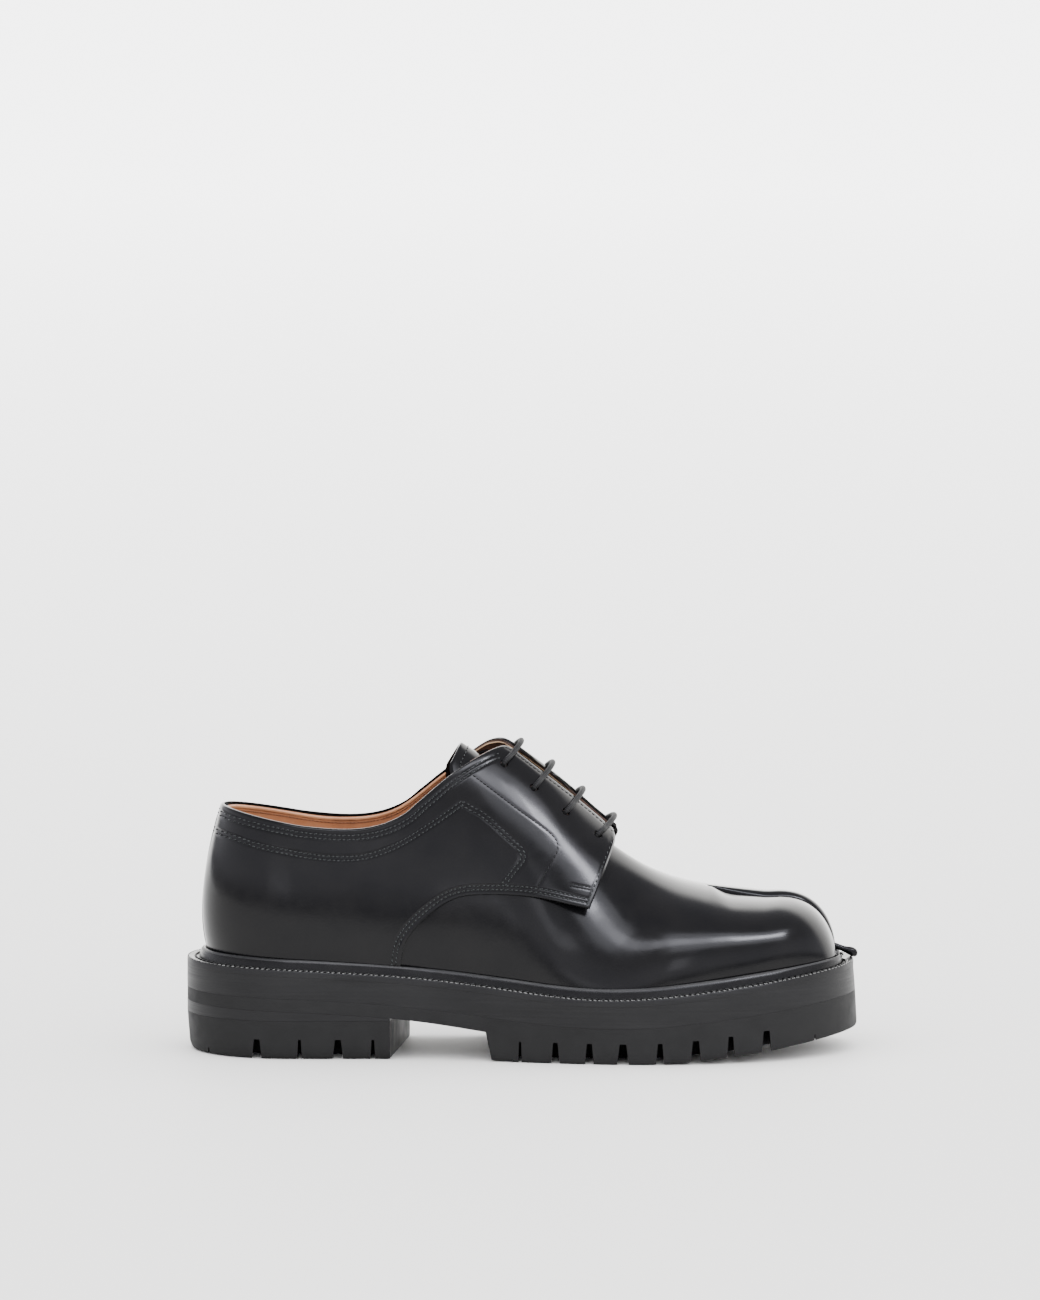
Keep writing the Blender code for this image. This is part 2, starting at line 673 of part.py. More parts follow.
def heel_block(name, high, low, taper):
    """Heel layer from the back to a slanted breast."""
    back = [SOLE_HEEL_X - (SOLE_HEEL_X - SOLE_BACK_X) * cos(pi / 2 * k / 6) for k in range(6)]
    shares = [0.0, 0.35, 0.7, 1.0]
    points = []
    for k in range(len(back) + len(shares)):
        for side in (LATERAL, MEDIAL):
            if k < len(back):
                x = back[k]
            else:
                x = SOLE_HEEL_X + (HEEL_BREAST[side] - SOLE_HEEL_X) * shares[k - len(back)]
            pair = [sole_point(x, side, 0.0, high(x)), sole_point(x, side, taper, low(x))]
            points += pair if side < 0 else pair[::-1]
    count = len(back) + len(shares)
    faces = []
    for i in range(count - 1):
        for k in range(4):
            n = (k + 1) % 4
            faces.append([i * 4 + k, i * 4 + n, i * 4 + 4 + n, i * 4 + 4 + k])
    faces.append([0, 1, 2, 3])
    faces.append([count * 4 - 1 - k for k in range(4)])
    return make(name, points, faces, 0.01 * MM)


def build_heel():
    lift = heel_block("heel_lift", lambda x: float(SOLE["tread"](x)) - GAP, lambda x: HEEL_TOP_Z, 0.0)
    paint(lift, "heel_lift_edge", (0.03, 0.03, 0.031), 0.45)
    top = heel_block("heel_top_piece", lambda x: HEEL_TOP_Z - GAP, lambda x: 0.0, HEEL_TAPER)
    notches = []
    for x, half in zip(HEEL_NOTCHES["x"], HEEL_NOTCHES["half"]):
        for side in (LATERAL, MEDIAL):
            notches.append(wedge(x, half, side, NOTCH_DEPTH - 0.5 * MM, -5 * MM, NOTCH_REACH))
    cut(top, join_bodies("heel_notches", notches))
    paint(top, "heel_rubber", (0.02, 0.02, 0.02), 0.7)


def swelling(u, side):
    """How far the wall stands out over its foot at the ridge's height."""
    t = np.linspace(0, 0.4, 81)
    line = wall(u, t, side)
    high = float(np.interp(line[0, 2] + RIDGE_H, line[:, 2], t))
    step = wall(u, [high], side)[0] - line[0]
    return sqrt(step[0] ** 2 + step[1] ** 2)


def toe_x(u, side):
    return TOE_X + (TIP_X[side] - TOE_X) * sin((u - 1) * pi / 2)


def lobe_lean(x, side):
    """How far a toe lobe's wall stands out over its foot at the ridge's height."""
    path = np.array(lobe_path(x, side, np.linspace(0, 0.4, 41), [], []))
    y = np.interp(path[0, 2] + RIDGE_H, path[:, 2], path[:, 1])
    return max(0.0, side * (y - path[0, 1]))


def foot_loop():
    """Closed plan loop of the upper's foot: place, sole edge, ridge share and lean of the ridge."""
    loop = []
    body = [x * MM for x in (-100, -86, -72, -58, -46, -35, -25, -6, 10, 25, 40, 55, 70, 84, 97, 110)]
    for side in (LATERAL, MEDIAL):
        here = []
        for u in HEEL_TURNS:
            p = wall(u, [0.0], side)[0]
            x = SOLE_HEEL_X - (SOLE_HEEL_X - SOLE_BACK_X) * cos((u + 1) * pi / 2)
            here.append((p[0], p[1], sole_point(x, side, 0.0, 40 * MM), 1.0, swelling(u, side)))
        for x in body:
            edge = sole_point(max(x, SOLE_HEEL_X), side, 0.0, float(SOLE["seat"](x)))
            here.append((x, lobe_plan(x, side)[0], edge, 1.0, swelling(body_u(x), side)))
        for u in TOE_TURNS:
            x = toe_x(u, side)
            foot = lobe_plan(x, side)[0]
            lean = max(1.1 * MM, 1.6 * lobe_lean(x, side) + 0.35 * MM)
            here.append((x, foot, front_edge(foot * 1.3, 36 * MM), 1.0, lean))
        for u, share in zip((1.9, 1.77, 1.62), (0.7, 0.2, 0.0)):
            x = toe_x(u, side)
            edge_y = lobe_plan(x, side)[1]
            here.append((x, edge_y, front_edge(edge_y * 1.1, 36 * MM), share, 0.6 * MM))
        loop += here if side < 0 else here[1:][::-1]
    return loop


def front_edge(y, z):
    """Point of the sole's toe edge at a given y."""
    low, high = SOLE_TOE_X, SOLE_TIP_X
    reach = (y - SOLE_TIP_Y) * (1 if y > SOLE_TIP_Y else -1)
    toward = MEDIAL if y > SOLE_TIP_Y else LATERAL
    for _ in range(40):
        middle = (low + high) / 2
        wide = (sole_point(middle, toward, 0.0, z)[1] - SOLE_TIP_Y) * toward
        if wide > reach:
            low = middle
        else:
            high = middle
    return sole_point(low, toward, 0.0, z)


def offset_loop(loop, distance):
    """Move a closed plan loop outward along its own normals."""
    ahead = np.roll(loop, -1, 0) - np.roll(loop, 1, 0)
    normal = np.stack([ahead[:, 1], -ahead[:, 0]], 1)
    area = np.sum(loop[:, 0] * np.roll(loop[:, 1], -1) - np.roll(loop[:, 0], -1) * loop[:, 1])
    normal *= np.sign(area)
    normal /= np.linalg.norm(normal, axis=1)[:, None]
    return loop + normal * np.asarray(distance)[:, None]


def build_welt():
    loop = foot_loop()
    inner = np.array([(row[0], row[1]) for row in loop])
    under = np.clip((-40 * MM - inner[:, 0]) / (12 * MM), 0, 1)
    near = offset_loop(inner, 0.45 * MM + under * (QUARTER_GAP + QUARTER_T + 0.1 * MM))
    points = []
    for k, (_, _, edge, share, lean) in enumerate(loop):
        a = near[k]
        b = np.array(edge[:2])
        way = (b - a) / np.linalg.norm(b - a)
        low = float(SOLE["seat"](a[0])) + GAP
        low_out = float(SOLE["seat"](b[0])) + GAP
        high = low + WELT_FLANGE + (RIDGE_H - WELT_FLANGE) * share
        lean += 0.2 * MM
        rows = [
            (a, low),
            (a + way * lean, high),
            (a + way * (lean + RIDGE_W), high - 0.4 * MM),
            (a + way * (lean + RIDGE_W + 1.0 * MM), low + WELT_FLANGE),
            (b - way * 0.8 * MM, low_out + WELT_FLANGE),
            (b, low_out + WELT_FLANGE - 0.8 * MM),
            (b, low_out),
        ]
        points += [(p[0], p[1], z) for p, z in rows]
    count = len(near)
    depth = 7
    faces = []
    for k in range(count):
        n = (k + 1) % count
        for j in range(depth):
            m = (j + 1) % depth
            faces.append([k * depth + j, n * depth + j, n * depth + m, k * depth + m])
    obj = make("welt", points, faces)
    paint(obj, "welt_strip", (0.02, 0.02, 0.021), 0.4)


def build_cleft_welt():
    """Strip that comes out of the cleft and ends in a round lip over the sole's edge."""
    path = table("x z half thick", [
        (133.5, 46.4, 1.4, 2.2), (138, 45.2, 2.0, 2.2), (143, 43.5, 2.3, 2.2), (147, 42.4, 2.4, 2.2),
        (149.2, 41.9, 2.2, 2.1), (150.0, 41.4, 1.4, 1.5),
    ])
    outer = []
    inner = []
    for x, z, half, thick in zip(path["x"], path["z"], path["half"], path["thick"]):
        outer.append([(x, 7 * MM + half * f, z - abs(f) ** 3 * 0.8 * MM) for f in (-1, -0.5, 0, 0.5, 1)])
        inner.append([(x, 7 * MM + half * f, z - thick + abs(f) ** 3 * 0.4 * MM) for f in (-1, -0.5, 0, 0.5, 1)])
    obj = sheet("cleft_welt", outer, inner)
    paint(obj, "cleft_strip", (0.012, 0.012, 0.012), 0.5)


def build_insole():
    inset = WALL + 0.6 * MM
    tip = 106 * MM
    start = 80 * MM
    heel = [-1 + k / 7 for k in range(7)]
    body = [x * MM for x in (-100, -80, -60, -40, -20, 0, 20, 40, 60)]
    toe = [start + (tip - start) * sin(pi / 2 * k / 6) for k in range(6)] + [tip - 0.15 * MM]
    layers = []
    for z in (INSOLE_T, 0.0):
        grid = []
        for u in heel:
            turn = (u + 1) * pi / 2
            x = HEEL_X + (BACK[0][0] + inset - HEEL_X) * cos(turn)
            pair = [side * (float(FORM["lat" if side < 0 else "med"](HEEL_X)) - inset) * sin(turn)
                    for side in (LATERAL, MEDIAL)]
            if u < -0.99:
                pair = [-2 * MM, 2 * MM]
            grid.append([(x, y, seat_z(x) + z) for y in pair])
        for x in body + toe:
            q = max(0.0, (x - start) / (tip - start))
            close = superellipse(q, 2.2)
            row = []
            for side in (LATERAL, MEDIAL):
                edge = side * (float(FORM["lat" if side < 0 else "med"](x)) - inset)
                row.append((x, 3 * MM * (1 - close) + edge * close, seat_z(x) + z))
            grid.append(row)
        layers.append(grid)
    obj = sheet("insole", layers[0], layers[1])
    paint(obj, "insole_leather", (0.42, 0.24, 0.12), 0.55)


def build_laces():
    """A bar from each hole up to the facing's edge, then straight across to the other side."""
    out = QUARTER_GAP + QUARTER_T + LACE_R + 0.35 * MM
    for k, (x, z) in enumerate(zip(HOLES["x"], HOLES["z"])):
        top_x = x + BAR_LEAN
        top_z = float(np.interp(top_x, QUARTER["top_x"][8:], QUARTER["top_z"][8:]))
        path = []
        for side in (LATERAL, MEDIAL):
            half = []
            for w in (0.0, 0.35, 0.7, 1.0):
                half.append(skin(x + (top_x - x) * w, z + (top_z - z) * w, side, out))
            path += half if side < 0 else half[::-1]
        points, faces = rod(path, LACE_R, 8)
        obj = make("lace_bar_%d" % (k + 1), points, faces)
        paint(obj, "lace_cord_%d" % (k + 1), (0.03, 0.03, 0.032), 0.6)


reset()
build_outsole()
build_heel()
build_midsole()
build_welt()
build_cleft_welt()
build_upper()
build_quarters()
build_tongue()
build_insole()
build_laces()
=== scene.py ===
import bpy
import bmesh
import numpy as np
from math import atan, cos, exp, pi, radians, sin, sqrt
from mathutils import Matrix, Vector


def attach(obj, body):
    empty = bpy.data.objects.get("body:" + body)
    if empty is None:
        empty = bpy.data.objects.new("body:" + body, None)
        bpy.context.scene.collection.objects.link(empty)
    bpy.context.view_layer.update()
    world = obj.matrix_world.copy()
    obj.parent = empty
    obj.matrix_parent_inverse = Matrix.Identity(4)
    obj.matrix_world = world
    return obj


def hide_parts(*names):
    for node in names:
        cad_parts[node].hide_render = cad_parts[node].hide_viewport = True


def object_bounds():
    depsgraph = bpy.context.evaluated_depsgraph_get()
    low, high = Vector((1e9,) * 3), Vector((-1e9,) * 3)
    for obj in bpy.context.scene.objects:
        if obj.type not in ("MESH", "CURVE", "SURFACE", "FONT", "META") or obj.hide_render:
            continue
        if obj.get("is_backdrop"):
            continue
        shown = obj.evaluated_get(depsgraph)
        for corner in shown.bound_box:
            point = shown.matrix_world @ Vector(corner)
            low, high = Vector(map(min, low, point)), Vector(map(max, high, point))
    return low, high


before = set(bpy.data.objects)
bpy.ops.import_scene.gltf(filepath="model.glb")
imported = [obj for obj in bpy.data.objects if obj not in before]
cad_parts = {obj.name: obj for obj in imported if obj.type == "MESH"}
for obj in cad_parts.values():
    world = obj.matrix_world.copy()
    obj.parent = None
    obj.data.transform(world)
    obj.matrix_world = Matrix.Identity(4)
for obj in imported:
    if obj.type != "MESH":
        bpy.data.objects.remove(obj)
cadLow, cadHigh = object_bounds()
mm = 0.001
lateral, medial = -1, 1
sideKey = {lateral: "lat", medial: "med"}
print("frame loaded:", len(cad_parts), "solids")

# camera
cameraSet = {
    "distance": 4.0,       # metres from the shoe
    "elevation": 8.6,      # degrees over the floor, seen from the shoe
    "perMm": 2.233,        # photo pixels to a millimetre
    "origin": (523, 1046),  # photo pixel of the shoe's origin
    "size": (1040, 1300),
    "upright": 0.99,       # how tall a height looks
    "farther": 0.1404,     # how much higher a place looks for its depth
}


def makeCamera():
    s = cameraSet
    focal = s["perMm"] * 1000 * s["distance"]
    e = radians(s["elevation"])
    cam = bpy.data.cameras.new("camera")
    cam.sensor_width = 36
    cam.lens = 36 * focal / s["size"][1]
    cam.clip_end = 200
    obj = bpy.data.objects.new("camera", cam)
    bpy.context.collection.objects.link(obj)
    obj.location = (0, -s["distance"] * cos(e), s["distance"] * sin(e))
    down = atan((s["origin"][1] - s["size"][1] / 2) / focal)
    turn = atan((s["origin"][0] - s["size"][0] / 2) / focal)
    obj.rotation_euler = (pi / 2 - e + down, 0, turn)
    bpy.context.scene.camera = obj


makeCamera()
print("camera placed")


# curves and meshes
def curveThrough(xs, ys):   # natural cubic through a few points
    xs, ys = np.asarray(xs, float), np.asarray(ys, float)
    n, h = len(xs), np.diff(xs)
    a, r = np.eye(n), np.zeros(n)
    for i in range(1, n - 1):
        a[i, i - 1:i + 2] = h[i - 1], 2 * (h[i - 1] + h[i]), h[i]
        r[i] = 6 * ((ys[i + 1] - ys[i]) / h[i] - (ys[i] - ys[i - 1]) / h[i - 1])
    m = np.linalg.solve(a, r)

    def at(x):
        x = np.clip(x, xs[0], xs[-1])
        i = np.clip(np.searchsorted(xs, x) - 1, 0, n - 2)
        p, q = xs[i + 1] - x, x - xs[i]
        bend = (m[i] * p ** 3 + m[i + 1] * q ** 3) / (6 * h[i])
        return bend + (ys[i] / h[i] - m[i] * h[i] / 6) * p + (ys[i + 1] / h[i] - m[i + 1] * h[i] / 6) * q

    return at


def curvesOf(names, rows):
    data = np.array(rows, float) * mm
    return {name: curveThrough(data[:, 0], data[:, k]) for k, name in enumerate(names.split()) if k}


def bez(p, t):
    s = 1 - t
    return p[0] * s ** 3 + 3 * p[1] * t * s * s + 3 * p[2] * t * t * s + p[3] * t ** 3


def gridFaces(rows, cols, base=0, flip=False, wrap=False):   # wrap closes the columns into a ring
    i, j = np.meshgrid(np.arange(rows - 1), np.arange(cols if wrap else cols - 1), indexing="ij")
    n = (j + 1) % cols
    here, ahead = i * cols, (i + 1) * cols
    quads = np.stack([here + j, ahead + j, ahead + n, here + n], -1).reshape(-1, 4) + base
    return (quads[:, ::-1] if flip else quads).tolist()


def loftFaces(rows, cols):   # closed rings, with both ends filled
    ends = [list(range(cols))[::-1], [(rows - 1) * cols + k for k in range(cols)]]
    return gridFaces(rows, cols, wrap=True) + ends


def makeMesh(name, points, faces, material, merge=0.0, sharp=None):
    mesh = bpy.data.meshes.new(name)
    mesh.from_pydata(np.asarray(points, float).reshape(-1, 3).tolist(), [], faces)
    work = bmesh.new()
    work.from_mesh(mesh)
    if merge:
        bmesh.ops.remove_doubles(work, verts=work.verts, dist=merge)
        bmesh.ops.dissolve_degenerate(work, edges=work.edges, dist=1e-7)
    bmesh.ops.recalc_face_normals(work, faces=work.faces)
    work.to_mesh(mesh)
    work.free()
    mesh.polygons.foreach_set("use_smooth", [True] * len(mesh.polygons))
    if sharp:
        mesh.set_sharp_from_angle(angle=radians(sharp))
    obj = bpy.data.objects.new(name, mesh)
    bpy.context.collection.objects.link(obj)
    mesh.materials.append(material)
    return obj


def sheetMesh(name, outer, inner, material, sharp=60):   # closed piece between two equal grids
    rows, cols = outer.shape[:2]
    size = rows * cols
    faces = gridFaces(rows, cols) + gridFaces(rows, cols, size, True)
    edge = [(i, 0) for i in range(rows)] + [(rows - 1, j) for j in range(1, cols)]
    edge += [(i, cols - 1) for i in range(rows - 2, -1, -1)] + [(0, j) for j in range(cols - 2, 0, -1)]
    ids = [i * cols + j for i, j in edge]
    for a, b in zip(ids, ids[1:] + ids[:1]):
        faces.append([a, b, b + size, a + size])
    points = np.concatenate([outer.reshape(-1, 3), inner.reshape(-1, 3)])
    return makeMesh(name, points, faces, material, 2e-6, sharp)


def evenRows(grid, passes):   # soften a grid along its rows, ends kept
    for _ in range(passes):
        grid[1:-1] = 0.25 * grid[:-2] + 0.5 * grid[1:-1] + 0.25 * grid[2:]
    return grid


def unit(v):
    return v / np.linalg.norm(v, axis=-1, keepdims=True)


def runOf(path):   # length gone at each point of a path
    return np.concatenate([[0], np.cumsum(np.linalg.norm(np.diff(path, axis=0), axis=1))])


def resample(path, step):   # points an even step apart along a path
    path = np.asarray(path, float)
    gone = runOf(path)
    at = np.linspace(0, gone[-1], max(2, int(round(gone[-1] / step)) + 1))
    return np.stack([np.interp(at, gone, path[:, k]) for k in range(path.shape[1])], 1)


def splinePath(points, step):   # smooth path through a few points
    points = np.asarray(points, float)
    gone = runOf(points)
    at = np.linspace(0, gone[-1], max(8, int(gone[-1] / step)))
    return np.stack([curveThrough(gone, points[:, k])(at) for k in range(points.shape[1])], 1)


def tube(path, radius, sides=12):
    path = np.asarray(path, float)
    ahead = unit(np.gradient(path, axis=0))
    points, a = [], np.cross(ahead[0], (0.3, 0.2, 0.9))
    radius = np.broadcast_to(radius, len(path))
    for p, d, r in zip(path, ahead, radius):
        a = unit(a - d * np.dot(a, d))
        b = np.cross(d, a)
        angle = np.arange(sides) * 2 * pi / sides
        points.append(p + r * (np.outer(np.cos(angle), a) + np.outer(np.sin(angle), b)))
    return np.concatenate(points), loftFaces(len(path), sides)


def joined(pieces):   # several (points, faces) in one list
    points, faces, base = [], [], 0
    for p, f in pieces:
        points.append(np.asarray(p).reshape(-1, 3))
        faces += [[base + i for i in face] for face in f]
        base += len(points[-1])
    return np.concatenate(points), faces


def place(obj, slot, *nodes):
    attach(obj, "root")
    if nodes:
        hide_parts(*nodes)
    return obj


# materials
def nodeKit(name, colour, roughness):
    mat = bpy.data.materials.new(name)
    mat.use_nodes = True
    tree = mat.node_tree
    shader = tree.nodes["Principled BSDF"]
    shader.inputs["Base Color"].default_value = (*colour, 1)
    shader.inputs["Roughness"].default_value = roughness
    where = tree.nodes.new("ShaderNodeTexCoord")
    return mat, tree, shader, where


def noiseAt(tree, where, scale, stretch=(1, 1, 1), detail=3.0, rough=0.5):
    spread = tree.nodes.new("ShaderNodeMapping")
    spread.inputs["Scale"].default_value = stretch
    tree.links.new(where.outputs["Object"], spread.inputs["Vector"])
    noise = tree.nodes.new("ShaderNodeTexNoise")
    noise.inputs["Scale"].default_value = scale
    noise.inputs["Detail"].default_value = detail
    noise.inputs["Roughness"].default_value = rough
    tree.links.new(spread.outputs["Vector"], noise.inputs["Vector"])
    return noise.outputs["Fac"]


def spanned(tree, value, low, high, fromLow=0.3, fromHigh=0.7):
    node = tree.nodes.new("ShaderNodeMapRange")
    node.inputs["From Min"].default_value = fromLow
    node.inputs["From Max"].default_value = fromHigh
    node.inputs["To Min"].default_value = low
    node.inputs["To Max"].default_value = high
    tree.links.new(value, node.inputs["Value"])
    return node.outputs["Result"]


def reckon(tree, how, *values):   # one maths node
    node = tree.nodes.new("ShaderNodeMath")
    node.operation = how
    for socket, value in zip(node.inputs, values):
        if isinstance(value, (int, float)):
            socket.default_value = value
        else:
            tree.links.new(value, socket)
    return node.outputs[0]


def tinted(tree, value, dark, light, fromLow=0.3, fromHigh=0.7):
    ramp = tree.nodes.new("ShaderNodeValToRGB")
    ramp.color_ramp.elements[0].position = fromLow
    ramp.color_ramp.elements[1].position = fromHigh
    ramp.color_ramp.elements[0].color = (*dark, 1)
    ramp.color_ramp.elements[1].color = (*light, 1)
    tree.links.new(value, ramp.inputs["Fac"])
    return ramp.outputs["Color"]


def bumped(tree, value, strength, distance, under=None):
    bump = tree.nodes.new("ShaderNodeBump")
    bump.inputs["Strength"].default_value = strength
    bump.inputs["Distance"].default_value = distance
    tree.links.new(value, bump.inputs["Height"])
    if under:
        tree.links.new(under, bump.inputs["Normal"])
    return bump.outputs["Normal"]


polishSet = {
    "dark": (0.0016, 0.0016, 0.0019), "light": (0.0027, 0.0026, 0.0028),
    "rough": (0.13, 0.19), "shine": 0.16, "grain": 0.05, "unevenness": 0.08,
}


def polishedLeather(name, seed=0.0, rough=None):   # smooth calf, waxed
    s = polishSet
    rough = rough or s["rough"]
    mat, tree, shader, where = nodeKit(name, s["light"], rough[0])
    cloud = noiseAt(tree, where, 55 + seed, detail=4)
    tree.links.new(tinted(tree, cloud, s["dark"], s["light"]), shader.inputs["Base Color"])
    tree.links.new(spanned(tree, noiseAt(tree, where, 140 + seed), *rough), shader.inputs["Roughness"])
    pores = noiseAt(tree, where, 1500, detail=2)
    waves = noiseAt(tree, where, 38 + seed, detail=1)
    soft = bumped(tree, waves, s["unevenness"], 0.002)
    tree.links.new(bumped(tree, pores, s["grain"], 0.0002, soft), shader.inputs["Normal"])
    shader.inputs["Specular IOR Level"].default_value = s["shine"]
    return mat


def tanLeather(name, dark, light):   # undyed lining
    mat, tree, shader, where = nodeKit(name, light, 0.55)
    tree.links.new(tinted(tree, noiseAt(tree, where, 90, detail=5), dark, light), shader.inputs["Base Color"])
    pores = noiseAt(tree, where, 1300, detail=3)
    tree.links.new(bumped(tree, pores, 0.25, 0.0003), shader.inputs["Normal"])
    tree.links.new(spanned(tree, noiseAt(tree, where, 260), 0.48, 0.66), shader.inputs["Roughness"])
    return mat


def brushedEdge(name, dark, light, lines=0.35):   # sanded and inked sole edge, lines run along it
    mat, tree, shader, where = nodeKit(name, light, 0.45)
    streak = noiseAt(tree, where, 1, (14, 14, 1500), detail=5, rough=0.7)
    patch = noiseAt(tree, where, 1, (30, 30, 120), detail=3)
    mixed = reckon(tree, "ADD", *[spanned(tree, part, 0, 0.5, 0.2, 0.8) for part in (streak, patch)])
    tree.links.new(tinted(tree, mixed, dark, light, 0.25, 0.75), shader.inputs["Base Color"])
    tree.links.new(spanned(tree, streak, 0.34, 0.5), shader.inputs["Roughness"])
    shader.inputs["Specular IOR Level"].default_value = 0.18
    tree.links.new(bumped(tree, streak, lines, 0.0002), shader.inputs["Normal"])
    return mat


def mouldedRubber(name):
    mat, tree, shader, where = nodeKit(name, (0.0045, 0.0045, 0.0047), 0.6)
    cloud = noiseAt(tree, where, 120, detail=5)
    dark, light = (0.0038, 0.0038, 0.0039), (0.0056, 0.0056, 0.0057)
    tree.links.new(tinted(tree, cloud, dark, light), shader.inputs["Base Color"])
    tree.links.new(spanned(tree, cloud, 0.52, 0.68), shader.inputs["Roughness"])
    shader.inputs["Specular IOR Level"].default_value = 0.15
    fine = noiseAt(tree, where, 1, (60, 60, 900), detail=4)
    tree.links.new(bumped(tree, fine, 0.2, 0.0002), shader.inputs["Normal"])
    return mat


def waxedThread(name, dark, light, roughness=0.45):
    mat, tree, shader, where = nodeKit(name, light, roughness)
    shader.inputs["Specular IOR Level"].default_value = 0.18
    twist = tree.nodes.new("ShaderNodeTexWave")
    twist.wave_type = "BANDS"
    twist.bands_direction = "DIAGONAL"
    twist.inputs["Scale"].default_value = 420
    twist.inputs["Distortion"].default_value = 1.5
    tree.links.new(where.outputs["Object"], twist.inputs["Vector"])
    tree.links.new(tinted(tree, twist.outputs["Fac"], dark, light, 0.2, 0.8), shader.inputs["Base Color"])
    tree.links.new(bumped(tree, twist.outputs["Fac"], 0.4, 0.0002), shader.inputs["Normal"])
    return mat


vampLeather = polishedLeather("vampLeather")
quarterLeather = polishedLeather("quarterLeather", 7.0)
tongueLeather = polishedLeather("tongueLeather", 13.0)
liningLeather = tanLeather("liningLeather", (0.15, 0.053, 0.019), (0.215, 0.082, 0.032))
bandLeather = tanLeather("bandLeather", (0.21, 0.088, 0.038), (0.29, 0.135, 0.064))
rawEdge = tanLeather("rawEdge", (0.024, 0.010, 0.006), (0.042, 0.019, 0.010))
sockLeather = tanLeather("sockLeather", (0.20, 0.075, 0.03), (0.30, 0.12, 0.05))
weltLeather = polishedLeather("weltLeather", 21.0, (0.22, 0.30))
# painted highlight: a lighter grey for the welt ridge's top, standing in for the softbox's gleam on it
weltPaintedHighlight = brushedEdge("weltPaintedHighlight", (0.007, 0.007, 0.0075), (0.020, 0.020, 0.021))
edgeInk = brushedEdge("edgeInk", (0.0026, 0.0026, 0.0028), (0.0052, 0.0052, 0.0055))
soleRubber = mouldedRubber("soleRubber")
seamThread = waxedThread("seamThread", (0.0026, 0.0029, 0.0031), (0.016, 0.0175, 0.018))
beadLeather = tanLeather("beadLeather", (0.30, 0.185, 0.105), (0.42, 0.28, 0.175))
darkThread = waxedThread("darkThread", (0.0010, 0.0010, 0.0011), (0.0028, 0.0028, 0.003))
edgeThread = waxedThread("edgeThread", (0.012, 0.012, 0.012), (0.045, 0.045, 0.044))
weltThread = waxedThread("weltThread", (0.0018, 0.0018, 0.0018), (0.006, 0.006, 0.006))
# painted highlight: the wheel marks get a pale grey that stands in for the glints on them
wheelMarkPaintedGlint = waxedThread("wheelMarkPaintedGlint", (0.022, 0.022, 0.022), (0.085, 0.085, 0.085))
tanThread = waxedThread("tanThread", (0.05, 0.017, 0.007), (0.12, 0.045, 0.02), 0.6)
laceCord = waxedThread("laceCord", (0.0010, 0.0010, 0.0011), (0.0065, 0.0065, 0.007), 0.6)
print("materials ready")

# the last, as sections
lastSet = {
    "heelX": -100 * mm, "toeX": 110 * mm, "gap": 0.3 * mm,
    "back": np.array([(-137.5, 38.5), (-156, 82), (-108, 173), (-100, 173)]) * mm,   # back curve in side view
    # where the loose vamp departs from the last, and by how much
    "looseAt": (5, 28, 40, 70), "looseReach": 6 * mm, "looseRise": 5 * mm,
    "flatAt": (-10, 20, 200, 230), "flatSwell": 3 * mm,
}
lastForm = curvesOf("x lat med swell rise reachLat reachMed ridge split lift", [
    (-100, 31.0, 31.0, 12.5, 40, 8, 8, 173.0, 0.0, 0.0),
    (-70, 32.0, 29.5, 9.0, 39, 12, 11, 167.0, 0.0, 0.0),
    (-40, 34.0, 27.0, 5.5, 40, 18, 16, 154.0, 0.0, 0.5),
    (-15, 37.5, 28.5, 4.0, 46, 25, 22, 136.5, 0.0, 4.8),
    (10, 42.5, 34.5, 3.5, 40, 27, 24, 117.3, 0.0, 7.8),
    (35, 46.5, 42.0, 4.0, 31, 25.5, 24.5, 95.0, 1.0, 8.3),
    (60, 47.5, 46.5, 5.5, 32, 27, 26, 78.7, 3.0, 8.0),
    (85, 44.5, 46.5, 6.5, 30, 34, 28, 71.6, 5.5, 8.0),
    (110, 37.5, 43.0, 6.0, 25, 38, 30, 68.3, 7.0, 8.0),
])
soleForm = curvesOf("x lat med seat plate tread floor", [
    (-150, 40.5, 40.5, 38.2, 28.0, 22.3, 0.0),
    (-119, 40.5, 40.5, 37.4, 27.4, 21.7, 0.0),
    (-84, 40.5, 38.5, 35.7, 25.9, 20.2, 0.0),
    (-44, 41.5, 35.5, 33.0, 22.8, 16.8, 0.0),
    (-4, 48.5, 39.5, 28.7, 18.4, 11.6, 0.0),
    (27, 54.5, 48.5, 25.7, 16.0, 9.5, 0.0),
    (53, 57.0, 55.5, 26.0, 16.2, 9.5, 0.0),
    (74, 56.2, 57.0, 28.0, 17.9, 10.8, 1.2),
    (95, 52.5, 55.0, 30.5, 20.2, 13.0, 3.3),
    (116, 46.0, 50.0, 33.1, 22.7, 15.4, 5.9),
    (134, 39.0, 45.0, 35.2, 24.8, 17.6, 8.3),
    (150, 33.0, 41.0, 37.0, 26.6, 19.6, 10.5),
])
collarZ = curvesOf("x z", [
    (-136, 109.8), (-118, 106.3), (-104, 103.7), (-89, 101.6), (-79, 101.3), (-64, 103.0),
    (-54, 107.2), (-43, 115.9), (-33, 124.0), (-21, 131.6), (-10, 137.0),
])["z"]


def stationAt(x):   # place along the foot, 0 at the heel's turn and 1 where the toe begins
    return (x - lastSet["heelX"]) / (lastSet["toeX"] - lastSet["heelX"])


def seatZ(x):
    return soleForm["seat"](x) + lastSet["gap"]


def window(x, start, full, fade, end):   # soft 0 to 1 and back along the foot, in mm
    share = np.minimum((x / mm - start) / (full - start), (end - x / mm) / (end - fade))
    return np.sin(pi / 2 * np.clip(share, 0, 1)) ** 2


def wallSwell(x, slack):   # belly of the wall over its foot, less on the loose vamp
    return lastForm["swell"](x) - lastSet["flatSwell"] * slack * window(x, *lastSet["flatAt"])


